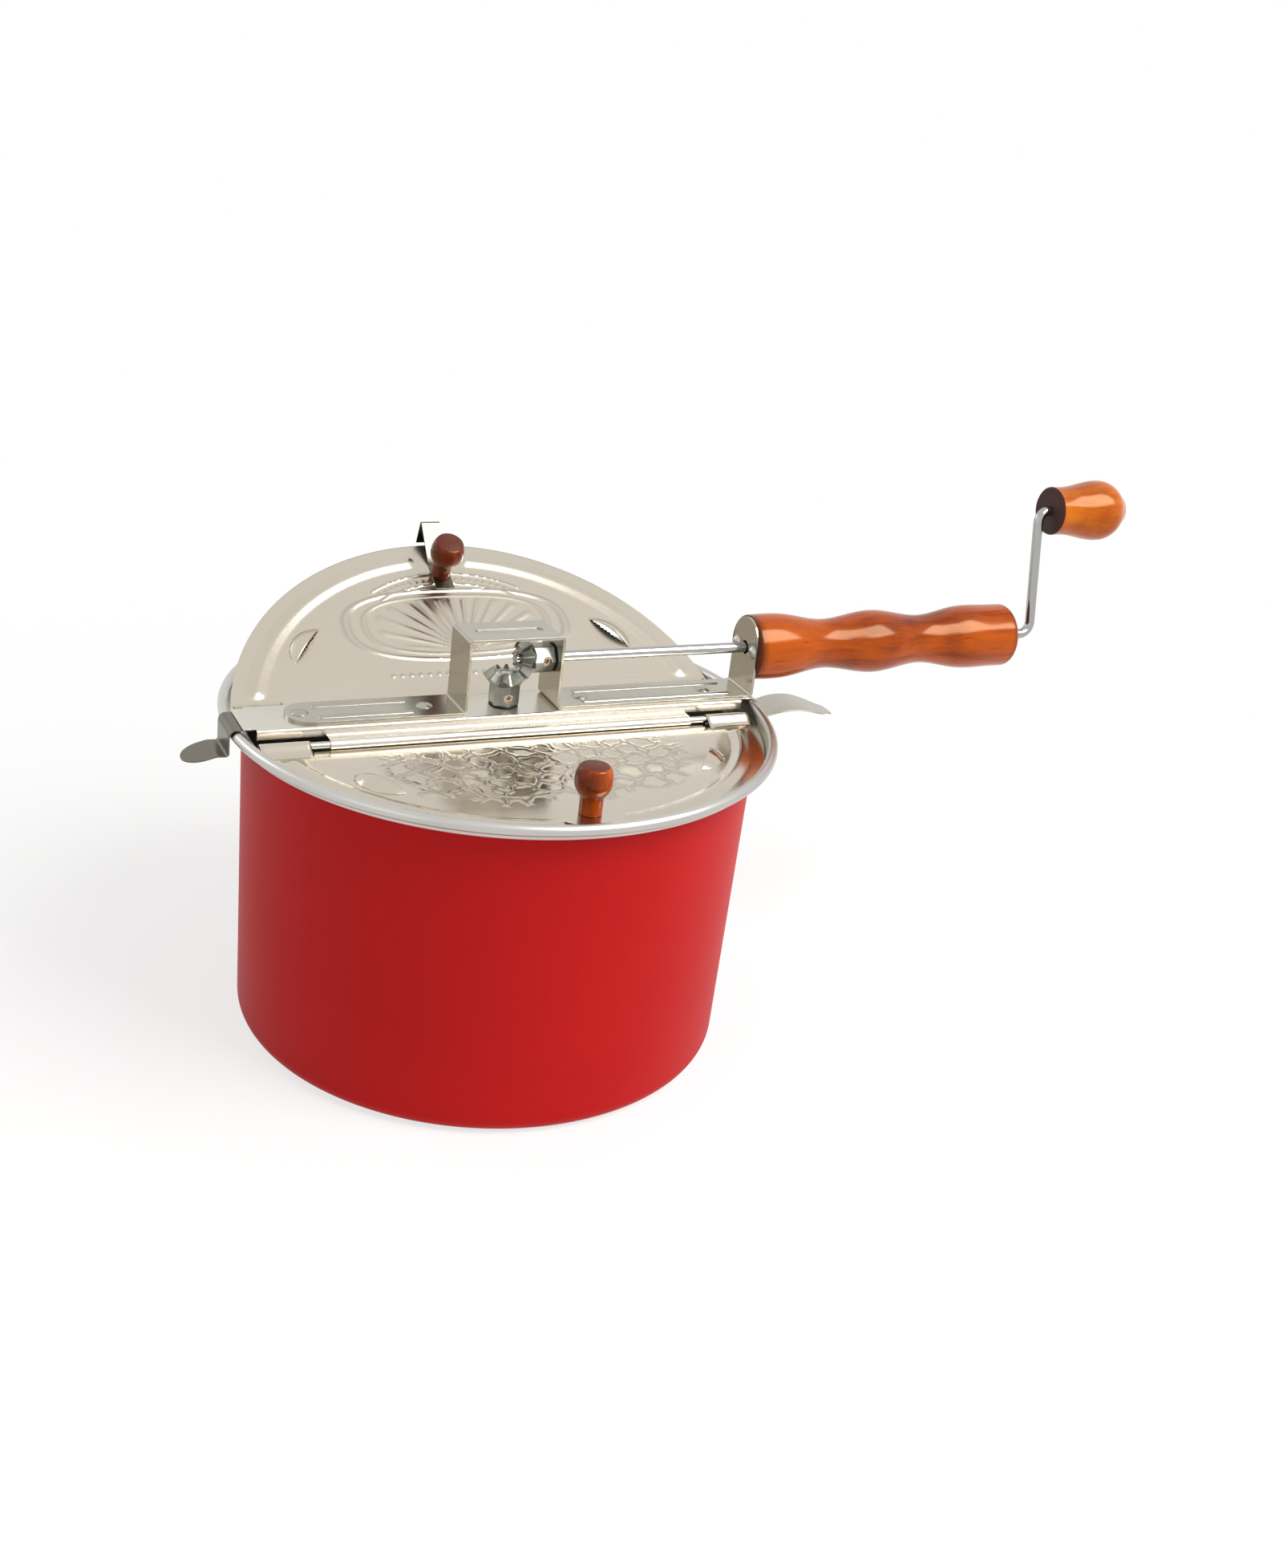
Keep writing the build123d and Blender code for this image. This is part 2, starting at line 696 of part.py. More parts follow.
def crank_knob():
    flank = Spline(crank_knob_profile)
    dome_ends = (crank_knob_profile[-1], (crank_knob_length, 0))
    dome = Spline(dome_ends, tangents=(flank % 1, (0, -1)))
    outline = joined(
        flank, dome,
        Line((crank_knob_length, 0), (0, 0)),
        Line((0, 0), crank_knob_profile[0]),
    )
    place = Pos(crank_knob_x, crank_pin_y, crank_pin_z)
    return turned_along_x(outline, rod_hole_radius, crank_knob_bore, place)


def handle_grip():
    flank = Spline([(x * grip_length / grip_profile[-1][0], r) for x, r in grip_profile])
    outline = joined(
        flank,
        Line((grip_length, grip_profile[-1][1]), (grip_length, 0)),
        Line((grip_length, 0), (0, 0)),
        Line((0, 0), grip_profile[0]),
    )
    place = Pos(plate_face, 0, rod_height)
    grip = turned_along_x(outline, rod_hole_radius, grip_length + 1, place)
    rims = grip.edges().filter_by(GeomType.CIRCLE).sort_by(SortBy.RADIUS)[-2:]
    end_edge = rims.sort_by(Axis.X)[-1]
    grip = fillet(end_edge, grip_end_round)
    mouth_end = plate_face + grip_mouth_depth
    grip = grip - along_x(plate_face - 1, mouth_end, 0, rod_height, plate_hole_radius)
    for y in (-handle_screw_offset, handle_screw_offset):
        pilot_end = plate_start + handle_screw_length + screw_hole_gap
        radius = handle_screw_radius + screw_hole_gap
        grip = grip - along_x(plate_face - 1, pilot_end, y, rod_height, radius)
    return grip


def handle_screws():
    screws = []
    for y in (-handle_screw_offset, handle_screw_offset):
        end = plate_start + handle_screw_length
        shank = along_x(plate_start, end, y, rod_height, handle_screw_radius)
        head = domed_head(handle_screw_head_radius, handle_screw_head_height)
        screws.append(shank + Pos(plate_start, y, rod_height) * Rot(0, -90, 0) * head)
    return Compound(children=screws)


# ---- Stirrer ----

def stirrer_shaft():
    top = rod_height - gear_face - shaft_end_gap
    shaft = upright(0, 0, pot_wall + stirrer_shaft_gap, top, rod_radius)
    reach = 2 * rod_radius
    shaft = shaft - along_x(-reach, reach, 0, wire_height, wire_radius + wire_fit)
    ring_top = bar_bottom - ring_gap
    band = upright(0, 0, ring_top - ring_sheet - 0.05, ring_top + 0.05, 2 * rod_radius)
    low, high = ring_top - 2 * ring_sheet, ring_top + ring_sheet
    core = upright(0, 0, low, high, rod_radius - ring_groove)
    return shaft - (band - core)


def stirrer_retaining_clip():
    """An open spring ring in the shaft's groove, under the crosspiece."""
    inner = rod_radius - ring_groove + 0.02
    middle = (inner + ring_radius) / 2
    line = CenterArc((0, 0), middle, ring_mouth / 2, 360 - ring_mouth)
    ring = extrude(trace(line, ring_radius - inner), ring_sheet)
    return Pos(0, 0, bar_bottom - ring_gap - ring_sheet) * ring


def stirrer_wire():
    reach = pot_base_radius - pot_wall - stirrer_wall_gap
    tip_x = reach * cos(radians(wire_sweepback))
    tip_y = reach * sin(radians(wire_sweepback))
    tip_z = wire_height + wire_tip_rise
    half = (
        (wire_straight, 0, wire_height),
        (wire_elbow, -wire_elbow_offset, wire_height),
        (tip_x, tip_y, wire_height),
        (tip_x, tip_y, tip_z),
    )
    other_half = tuple((-x, -y, z) for x, y, z in reversed(half))
    bends = (wire_elbow_radius, wire_elbow_radius, wire_tip_radius)
    path = FilletPolyline(*other_half, *half, radius=tuple(reversed(bends)) + bends)
    section = Plane(origin=(-tip_x, -tip_y, tip_z), z_dir=(0, 0, -1)) * Circle(wire_radius)
    return sweep(section, path=path)


# ---- The whole popper ----

rear_knob_base = lid_top + lid_clip_sheet
driven_phase = 180 + 180 / gear_teeth

parts = {
    "pot_shell": pot_shell(),
    "crosspiece": crosspiece(),
    "front_hinge_pin": to_front(hinge_pin()),
    "rear_hinge_pin": hinge_pin(),
    "front_lid": to_front(lid()),
    "rear_lid": open_rear(lid()),
    "front_knob": to_front(lid_knob(lid_top)),
    "rear_knob": open_rear(lid_knob(rear_knob_base)),
    "front_knob_screw": to_front(lid_screw(lid_top)),
    "rear_knob_screw": open_rear(lid_screw(rear_knob_base)),
    "rear_lid_clip": open_rear(lid_clip()),
    "left_clip_strap": clip_strap(-1),
    "right_clip_strap": clip_strap(1),
    "left_clip_hook": left_clip_hook(),
    "right_clip_hook": right_clip_hook(),
    "gear_bracket": gear_bracket(),
    "bracket_rivets": bracket_rivets(),
    "handle_grip": handle_grip(),
    "handle_screws": handle_screws(),
    "crank_rod": crank_rod(),
    "crank_knob": crank_knob(),
    "drive_gear": on_crank(bevel_gear(0)),
    "drive_set_screw": on_crank(set_screw()),
    "crank_washer": on_crank(washer()),
    "driven_gear": on_stirrer(bevel_gear(driven_phase)),
    "driven_set_screw": on_stirrer(set_screw()),
    "stirrer_washer": on_stirrer(washer()),
    "stirrer_shaft": stirrer_shaft(),
    "stirrer_retaining_clip": stirrer_retaining_clip(),
    "stirrer_wire": stirrer_wire(),
}

os.makedirs("parts", exist_ok=True)
for name, solid in parts.items():
    solid.label = name
    export_step(solid, f"parts/{name}.step")
    print(name)
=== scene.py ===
# Stovetop popcorn popper: red pot, hinged lid halves, bevel gears and a wooden crank handle.
# Metres, +Z up, in the same frame as the construction. Grids of points are worked out
# with numpy and become meshes, and each finish is a small node tree.
import json
import math

import bmesh
import bpy
import numpy as np
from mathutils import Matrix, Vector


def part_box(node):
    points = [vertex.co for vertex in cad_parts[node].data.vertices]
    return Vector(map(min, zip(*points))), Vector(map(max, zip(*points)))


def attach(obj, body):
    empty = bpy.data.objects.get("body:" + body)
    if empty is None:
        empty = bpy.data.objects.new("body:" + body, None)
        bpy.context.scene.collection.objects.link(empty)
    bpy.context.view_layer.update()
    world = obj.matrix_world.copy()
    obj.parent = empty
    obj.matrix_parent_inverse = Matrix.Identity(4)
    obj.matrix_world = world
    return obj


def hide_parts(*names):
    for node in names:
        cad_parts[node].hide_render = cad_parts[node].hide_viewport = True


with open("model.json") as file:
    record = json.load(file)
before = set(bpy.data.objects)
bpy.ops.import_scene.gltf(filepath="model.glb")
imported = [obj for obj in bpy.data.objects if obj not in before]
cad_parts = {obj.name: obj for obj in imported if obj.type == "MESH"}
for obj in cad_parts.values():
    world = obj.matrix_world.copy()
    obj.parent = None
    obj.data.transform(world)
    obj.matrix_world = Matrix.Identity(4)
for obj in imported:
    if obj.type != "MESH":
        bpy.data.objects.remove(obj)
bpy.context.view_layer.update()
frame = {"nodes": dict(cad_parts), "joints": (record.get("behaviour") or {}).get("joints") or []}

mm = 0.001
nodes = frame["nodes"]
joints = {joint["name"]: joint for joint in frame["joints"]}
print("frame loaded:", len(nodes), "nodes")


# Unit vectors of an array of vectors.
def unit(vectors):
    return vectors / np.linalg.norm(vectors, axis=-1, keepdims=True)


# Straight runs joined by tangent arcs: each arc turns about the point that lies one
# radius from both runs.
def roundedPath(corners, radii, arcSteps=8):
    corners = np.asarray(corners, float)
    points = [corners[:1]]
    for here, before, after, radius in zip(corners[1:-1], corners[:-2], corners[2:], radii):
        back = unit(before - here)
        onward = unit(after - here)
        half = math.acos(np.clip(back @ onward, -1, 1)) / 2
        centre = here + unit(back + onward) * radius / math.sin(half)
        start = here + back * radius / math.tan(half) - centre
        end = here + onward * radius / math.tan(half) - centre
        turn = math.pi - 2 * half
        t = np.linspace(0, 1, arcSteps + 1)[:, None]
        arc = (np.sin((1 - t) * turn) * start + np.sin(t * turn) * end) / math.sin(turn)
        points.append(centre + arc)
    points.append(corners[-1:])
    return np.concatenate(points)


# Points of a circle's arc in a plane, from one angle to another in degrees.
def arcPoints(centre, radius, start, end, steps):
    angle = np.radians(np.linspace(start, end, steps + 1))
    return np.stack([centre[0] + radius * np.cos(angle),
                     centre[1] + radius * np.sin(angle)], -1)


# A flat path moved sideways by a distance, along the left normal of its direction.
def offsetPath(path, distance):
    direction = unit(np.gradient(path, axis=0))
    return path + distance * np.stack([-direction[:, 1], direction[:, 0]], -1)


# A smooth curve through given points: the cubic whose second derivative is
# continuous and ends at zero.
def smoothCurve(known, values, wanted):
    known = np.asarray(known, float)
    values = np.asarray(values, float)
    step = np.diff(known)
    count = len(known)
    system = np.eye(count)
    right = np.zeros(count)
    inner = np.arange(1, count - 1)
    system[inner, inner - 1] = step[:-1]
    system[inner, inner] = 2 * (step[:-1] + step[1:])
    system[inner, inner + 1] = step[1:]
    slope = np.diff(values) / step
    right[inner] = 6 * np.diff(slope)
    bend = np.linalg.solve(system, right)
    k = np.clip(np.searchsorted(known, wanted) - 1, 0, count - 2)
    a = known[k + 1] - wanted
    b = wanted - known[k]
    h = step[k]
    return (bend[k] * a**3 + bend[k + 1] * b**3) / (6 * h) + (
        values[k] / h - bend[k] * h / 6
    ) * a + (values[k + 1] / h - bend[k + 1] * h / 6) * b


# The cubic between two points with given end directions.
def hermite(start, end, leave, arrive, t):
    return ((2 * t**3 - 3 * t**2 + 1) * start + (t**3 - 2 * t**2 + t) * leave
            + (3 * t**2 - 2 * t**3) * end + (t**3 - t**2) * arrive)


# A grid of points, rows by columns, becomes quads between neighbours. Points that
# meet are merged, so seams and poles close.
def gridMesh(name, points, wrapRows=False, wrapCols=False, keep=None, bands=None):
    rows, cols = points.shape[:2]
    index = np.arange(rows * cols).reshape(rows, cols)
    if wrapRows:
        index = np.vstack([index, index[:1]])
    if wrapCols:
        index = np.hstack([index, index[:, :1]])
    quads = np.stack([index[:-1, :-1], index[:-1, 1:], index[1:, 1:], index[1:, :-1]], -1)
    material = np.zeros(quads.shape[:2], int)
    if bands is not None:
        material += np.asarray(bands)[: len(quads), None]
    if keep is not None:
        quads = quads[keep]
        material = material[keep]
    quads = quads.reshape(-1, 4)
    mesh = bpy.data.meshes.new(name)
    mesh.vertices.add(rows * cols)
    mesh.vertices.foreach_set("co", points.reshape(-1, 3).ravel())
    mesh.loops.add(quads.size)
    mesh.loops.foreach_set("vertex_index", quads.ravel())
    mesh.polygons.add(len(quads))
    mesh.polygons.foreach_set("loop_start", np.arange(0, quads.size, 4))
    mesh.polygons.foreach_set("material_index", material.ravel())
    mesh.update(calc_edges=True)
    return mesh


# Joins meshes into one, merges the points that meet and shades it smooth, with
# sharp edges where the surface turns by more than an angle.
def finishMesh(name, meshes, sharpAngle=38.0, closed=True):
    whole = bmesh.new()
    for mesh in meshes:
        whole.from_mesh(mesh)
        bpy.data.meshes.remove(mesh)
    bmesh.ops.remove_doubles(whole, verts=whole.verts, dist=2e-6)
    loose = [vertex for vertex in whole.verts if not vertex.link_faces]
    bmesh.ops.delete(whole, geom=loose, context="VERTS")
    if closed:
        bmesh.ops.recalc_face_normals(whole, faces=whole.faces)
    mesh = bpy.data.meshes.new(name)
    whole.to_mesh(mesh)
    whole.free()
    mesh.polygons.foreach_set("use_smooth", np.ones(len(mesh.polygons), bool))
    mesh.set_sharp_from_angle(angle=math.radians(sharpAngle))
    piece = bpy.data.objects.new(name, mesh)
    bpy.context.scene.collection.objects.link(piece)
    return piece


# A profile of distances along and away from an axis, turned about it. along and
# side are unit vectors of the axis and of the profile's first direction.
def lathe(name, profile, origin, along, side, segments=128, wrapRows=False, bands=None):
    profile = np.asarray(profile, float)
    along = np.asarray(along, float)
    side = np.asarray(side, float)
    across = np.cross(along, side)
    angle = np.linspace(0, 2 * math.pi, segments, endpoint=False)
    ring = np.cos(angle)[:, None] * side + np.sin(angle)[:, None] * across
    points = profile[:, None, :1] * along + profile[:, None, 1:] * ring + np.asarray(origin)
    return gridMesh(name, points, wrapRows=wrapRows, wrapCols=True, bands=bands)


# A round bar along a path: rings lie square to the path, turned about a guide
# direction that the path never follows. Both ends close with a small chamfer.
def tube(name, path, radius, guide, sides=32, chamfer=0.3 * mm):
    path = np.asarray(path, float)
    direction = unit(np.gradient(path, axis=0))
    head, tail = path[0], path[-1]
    centres = np.concatenate([[head, head, head + direction[0] * chamfer], path[1:-1],
                              [tail - direction[-1] * chamfer, tail, tail]])
    direction = np.concatenate([direction[:1].repeat(3, 0), direction[1:-1],
                                direction[-1:].repeat(3, 0)])
    size = np.full(len(centres), radius)
    size[[0, -1]] = 0
    size[[1, -2]] = radius - chamfer
    side = unit(np.cross(direction, np.asarray(guide, float)))
    across = np.cross(direction, side)
    angle = np.linspace(0, 2 * math.pi, sides, endpoint=False)[None, :, None]
    ring = np.cos(angle) * side[:, None] + np.sin(angle) * across[:, None]
    return gridMesh(name, centres[:, None] + ring * size[:, None, None], wrapCols=True)


# Turns points about a line along X by an angle in degrees.
def turnAboutX(points, centre, degrees):
    c, s = math.cos(math.radians(degrees)), math.sin(math.radians(degrees))
    y = points[..., 1] - centre[1]
    z = points[..., 2] - centre[2]
    return np.stack([points[..., 0], centre[1] + c * y - s * z, centre[2] + s * y + c * z], -1)


# A bump with a flat foot and a round top: half a cosine wave from its middle line.
def ridge(distance, halfWidth):
    return 0.5 + 0.5 * np.cos(math.pi * np.clip(np.abs(distance) / halfWidth, 0, 1))


# Rises smoothly from 0 to 1 between two values.
def ramp(value, low, high):
    t = np.clip((value - low) / (high - low), 0, 1)
    return t * t * (3 - 2 * t)


# A socket that can stand in an expression: sums, differences, products and powers
# make Math nodes.
class Value:
    def __init__(self, paint, socket):
        self.paint = paint
        self.socket = socket

    def math(self, operation, other, swap=False):
        terms = [other, self] if swap else [self, other]
        return self.paint.node("ShaderNodeMath", {"operation": operation}, terms)

    def __add__(self, other):
        return self.math("ADD", other)

    def __sub__(self, other):
        return self.math("SUBTRACT", other)

    def __rsub__(self, other):
        return self.math("SUBTRACT", other, swap=True)

    def __mul__(self, other):
        return self.math("MULTIPLY", other)

    def __pow__(self, other):
        return self.math("POWER", other)

    __radd__ = __add__
    __rmul__ = __mul__


socketNames = {
    "base": "Base Color",
    "specular": "Specular IOR Level",
    "specularTint": "Specular Tint",
}


# The node tree of one material or of the world.
class Paint:
    def __init__(self, owner):
        self.owner = bpy.data.materials.new(owner) if isinstance(owner, str) else owner
        self.owner.use_nodes = True
        self.tree = self.owner.node_tree
        self.shader = self.tree.nodes.get("Principled BSDF")
        self.place = self.node("ShaderNodeTexCoord", output="Object")

    def feed(self, socket, value):
        if isinstance(value, Value):
            self.tree.links.new(value.socket, socket)
        else:
            socket.default_value = value

    def node(self, kind, settings=None, inputs=(), output=0):
        made = self.tree.nodes.new(kind)
        for key, value in (settings or {}).items():
            setattr(made, key, value)
        pairs = inputs.items() if isinstance(inputs, dict) else enumerate(inputs)
        for key, value in pairs:
            self.feed(made.inputs[key], value)
        return Value(self, made.outputs[output])

    def stretched(self, x, y, z):
        return self.node("ShaderNodeMapping", inputs={"Vector": self.place, "Scale": (x, y, z)})

    def noise(self, vector, scale, detail=2.0, roughness=0.5):
        inputs = {"Vector": vector, "Scale": scale, "Detail": detail, "Roughness": roughness}
        return self.node("ShaderNodeTexNoise", inputs=inputs)

    def axes(self):
        split = self.node("ShaderNodeSeparateXYZ", inputs=[self.place])
        outputs = split.socket.node.outputs
        return [Value(self, outputs[k]) for k in range(3)]

    def between(self, value, low, high):
        return self.node("ShaderNodeMapRange", {"interpolation_type": "SMOOTHSTEP"},
                         {"Value": value, "From Min": low, "From Max": high})

    def colours(self, factor, first, second):
        first, second = [c if isinstance(c, Value) else (*c, 1) for c in (first, second)]
        return self.node("ShaderNodeMix", {"data_type": "RGBA"},
                         {0: factor, 6: first, 7: second}, output=2)

    # 1 for rays from the camera, a mirror or glass.
    def seen(self):
        rays = self.node("ShaderNodeLightPath").socket.node.outputs
        camera, glossy, clear = [Value(self, rays["Is " + kind + " Ray"])
                                 for kind in ("Camera", "Glossy", "Transmission")]
        return camera.math("MAXIMUM", glossy).math("MAXIMUM", clear)

    def bump(self, height, distance, normal=None):
        inputs = {"Height": height, "Distance": distance, "Strength": 1.0}
        if normal is not None:
            inputs["Normal"] = normal
        return self.node("ShaderNodeBump", inputs=inputs)

    def softEdges(self, radius):
        return self.node("ShaderNodeBevel", {"samples": 4}, {"Radius": radius})

    def set(self, **sockets):
        for key, value in sockets.items():
            name = socketNames.get(key, key.title())
            if isinstance(value, tuple) and len(value) == 3:
                value = (*value, 1)
            self.feed(self.shader.inputs[name], value)
        return self.owner


finish = {
    "powderRed": (0.45, 0.0060, 0.0062),
    "powderDark": (0.37, 0.0040, 0.0045),
    "lidMetal": (0.60, 0.545, 0.455),
    "barMetal": (0.68, 0.64, 0.565),
    "spunMetal": (0.60, 0.585, 0.55),
    "zincBright": (0.50, 0.47, 0.395),
    "zincCast": (0.50, 0.495, 0.445),
    "springDark": (0.17, 0.155, 0.125),
    # A lighter copy of the dark spring steel for the right clip hook only: a painted highlight
    # where the lamp falls on that side.
    "springSteelLitCopy": (0.50, 0.47, 0.40),
    "rodSteel": (0.43, 0.43, 0.415),
    "fastener": (0.47, 0.465, 0.43),
    "copper": (0.50, 0.40, 0.31),
    "gripLight": (0.41, 0.066, 0.0005),
    "gripDark": (0.14, 0.012, 0.0002),
    "honeyLight": (0.54, 0.135, 0.001),
    "honeyDark": (0.30, 0.046, 0.0005),
    "frontKnobLight": (0.44, 0.066, 0.0005),
    "frontKnobDark": (0.12, 0.010, 0.0005),
    "rearKnobLight": (0.16, 0.018, 0.003),
    "rearKnobDark": (0.055, 0.005, 0.001),
    "woodGloss": (1.0, 0.70, 0.42),
    "gripEnd": (0.16, 0.024, 0.004),
    "crankKnobEnd": (0.055, 0.015, 0.008),
    "knobTop": (0.13, 0.026, 0.010),
    "rubberBlack": (0.010, 0.010, 0.011),
}


# A colour made darker by a share of itself.
def darker(colour, share):
    return tuple(share * c for c in colour)


# Satin powder coat: a fine orange peel and a little unevenness of gloss.
def powderCoat():
    paint = Paint("redPowderCoat")
    peel = paint.noise(paint.place, 900.0, detail=3.0)
    cloud = paint.noise(paint.place, 14.0)
    base = paint.colours(cloud * 0.7, finish["powderRed"], finish["powderDark"])
    gloss = 0.40 + 0.10 * cloud + 0.05 * peel
    return paint.set(base=base, roughness=gloss, normal=paint.bump(peel, 0.05 * mm), specular=0.09)


# Spun aluminium: fine rings round the pot's axis.
def spunAluminium():
    paint = Paint("spunAluminium")
    x, y, z = paint.axes()
    radius = (x * x + y * y) ** 0.5
    rings = paint.node("ShaderNodeCombineXYZ", inputs=[radius * 2600, z * 2600, 0.0])
    lines = paint.noise(rings, 1.0, detail=3.0)
    cloud = paint.noise(paint.place, 30.0)
    base = paint.colours(cloud, finish["spunMetal"], darker(finish["spunMetal"], 0.8))
    rough = 0.20 + 0.16 * lines + 0.06 * cloud
    return paint.set(base=base, metallic=1.0, roughness=rough, normal=paint.bump(lines, 0.02 * mm))


# Rolled sheet: long faint streaks along X and soft smudges. Where a raised pattern is given, its
# flanks are darkened by the mesh's own slope: painted shade, standing in for the dark reflections
# that the relief catches.
def rolledSheet(name, colour, gloss, edge, paintedFlankShade=0.0):
    paint = Paint(name)
    streaks = paint.noise(paint.stretched(18, 900, 900), 1.0, detail=3.0)
    smudge = paint.noise(paint.place, 26.0, detail=3.0)
    base = paint.colours(smudge * 0.6, colour, darker(colour, 0.86))
    # Painted shade: the pattern's flanks are darkened by their slope.
    if paintedFlankShade:
        slope = paint.node("ShaderNodeAttribute", {"attribute_name": "paintedFlankShade"}, output=2)
        base = paint.colours(slope * paintedFlankShade, base, darker(colour, 0.30))
    rough = gloss + 0.07 * streaks + 0.08 * smudge
    normal = paint.bump(streaks, 0.006 * mm, normal=paint.softEdges(edge))
    return paint.set(base=base, metallic=1.0, roughness=rough, normal=normal)


# Zinc-plated strap: bright, with a faint grey-green cast in patches.
def brightZinc():
    paint = Paint("brightZinc")
    patch = paint.noise(paint.place, 60.0, detail=3.0)
    fine = paint.noise(paint.stretched(60, 1400, 1400), 1.0, detail=2.0)
    base = paint.colours(patch, finish["zincBright"], darker(finish["zincBright"], 0.74))
    rough = 0.10 + 0.10 * patch + 0.05 * fine
    normal = paint.bump(fine, 0.006 * mm, normal=paint.softEdges(0.25 * mm))
    return paint.set(base=base, metallic=1.0, roughness=rough, normal=normal)


# Die-cast gears: dark, slightly rough, with worn bright edges.
def castZinc():
    paint = Paint("castZinc")
    grain = paint.noise(paint.place, 1100.0, detail=4.0)
    patch = paint.noise(paint.place, 260.0, detail=3.0)
    base = paint.colours(patch, finish["zincCast"], darker(finish["zincCast"], 0.42))
    normal = paint.bump(grain, 0.05 * mm, normal=paint.softEdges(0.3 * mm))
    return paint.set(base=base, metallic=1.0, roughness=0.22 + 0.2 * grain, normal=normal)


# Plain metal with a little grain.
def plainMetal(name, colour, gloss, edge=0.2 * mm):
    paint = Paint(name)
    grain = paint.noise(paint.place, 700.0, detail=3.0)
    base = paint.colours(grain * 0.5, colour, darker(colour, 0.75))
    normal = paint.bump(grain, 0.008 * mm, normal=paint.softEdges(edge))
    return paint.set(base=base, metallic=1.0, roughness=gloss + 0.08 * grain, normal=normal)


# Stained and lacquered wood: grain along one axis, darker where the stain pools. ends
# gives the axis, the lowest and highest place on it and how far in the ends are darker.
def lacqueredWood(name, light, dark, stretch, poolScale=26.0, ends=None):
    paint = Paint(name)
    grain = paint.noise(paint.stretched(*stretch), 1.0, detail=5.0, roughness=0.62)
    pores = paint.noise(paint.stretched(*(3.2 * s for s in stretch)), 1.0, detail=2.0)
    pool = paint.noise(paint.place, poolScale, detail=2.0)
    shade = 0.50 * grain + 0.85 * pool - 0.12
    base = paint.colours(paint.between(shade, 0.36, 0.78), light, dark)
    base = paint.colours(paint.between(pores, 0.60, 0.72) * 0.5, base, dark)
    if ends:
        axis, low, high, reach = ends
        distance = paint.axes()[axis]
        pastLow = paint.between(distance, low, low + reach)
        pastHigh = paint.between(distance, high - reach, high)
        near = 1 - pastLow * (1 - pastHigh)
        base = paint.colours(near * 0.75, base, darker(dark, 0.35))
    return paint.set(base=base, roughness=0.12 + 0.08 * grain, specular=0.44,
                     specularTint=finish["woodGloss"], normal=paint.bump(grain, 0.02 * mm))


# Bare end grain under thin stain.
def endGrain(name, colour):
    paint = Paint(name)
    rings = paint.noise(paint.place, 420.0, detail=4.0)
    base = paint.colours(rings, colour, darker(colour, 0.55))
    return paint.set(base=base, roughness=0.42 + 0.2 * rings, specular=0.3,
                     normal=paint.bump(rings, 0.04 * mm))


# Black rubber with a fine unevenness of gloss.
def blackWasher():
    paint = Paint("blackWasher")
    grain = paint.noise(paint.place, 900.0)
    return paint.set(base=finish["rubberBlack"], roughness=0.4 + 0.2 * grain, specular=0.3)


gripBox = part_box("handle_grip")
metals = {
    "powder": powderCoat(),
    "spun": spunAluminium(),
    # Both lids get painted shade on the flanks of their raised pattern, by the given share.
    "frontLid": rolledSheet("frontLidAluminium", finish["lidMetal"], 0.08, 0.1 * mm, paintedFlankShade=0.62),
    "rearLid": rolledSheet("rearLidAluminium", finish["lidMetal"], 0.19, 0.1 * mm, paintedFlankShade=0.52),
    "bar": rolledSheet("crosspieceAluminium", finish["barMetal"], 0.17, 0.25 * mm),
    "bracket": brightZinc(),
    "gear": castZinc(),
    "spring": plainMetal("darkSpringSteel", finish["springDark"], 0.24),
    # The right clip hook's lighter copy of the spring steel: a painted highlight.
    "litSpringCopy": plainMetal("springSteelPaintedHighlight", finish["springSteelLitCopy"], 0.26),
    "rod": plainMetal("platedRod", finish["rodSteel"], 0.09),
    "fastener": plainMetal("platedFastener", finish["fastener"], 0.2),
    "copper": plainMetal("copperySetScrew", finish["copper"], 0.25),
    "washer": blackWasher(),
}
woods = {
    "grip": lacqueredWood("gripLacquer", finish["gripLight"], finish["gripDark"],
                          (14, 260, 260), ends=(0, gripBox[0].x, gripBox[1].x, 4.5 * mm)),
    "crankKnob": lacqueredWood("crankKnobLacquer", finish["honeyLight"], finish["honeyDark"],
                               (22, 300, 300), 34.0),
    "frontKnob": lacqueredWood("frontKnobLacquer", finish["frontKnobLight"],
                               finish["frontKnobDark"], (260, 260, 40), 60.0),
    "rearKnob": lacqueredWood("rearKnobLacquer", finish["rearKnobLight"],
                              finish["rearKnobDark"], (260, 260, 40), 60.0),
    "gripEnd": endGrain("gripEndGrain", finish["gripEnd"]),
    "crankKnobEnd": endGrain("crankKnobEndGrain", finish["crankKnobEnd"]),
    "knobTop": endGrain("knobTopGrain", finish["knobTop"]),
}
print("finishes made:", len(metals) + len(woods))


# Puts a piece on its body, in place of its construction node, in given finishes.
def place(piece, node, body, *materials):
    for material in materials:
        piece.data.materials.append(material)
    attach(piece, body)
    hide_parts(node)


pot = {
    "wall": 1.2 * mm, "baseRadius": 109.9 * mm, "topRadius": 111.7 * mm, "corner": 7.4 * mm,
    "ledge": 141.6 * mm, "ledgeWidth": 5.3 * mm, "ledgeCorner": 2.0 * mm,
    "beadRadius": 2.4 * mm, "beadRise": 4.6 * mm, "beadWrap": 285.0,
    "bareBelowLedge": 0.2 * mm, "cornerSteps": 10, "beadSteps": 36, "segments": 256,
}


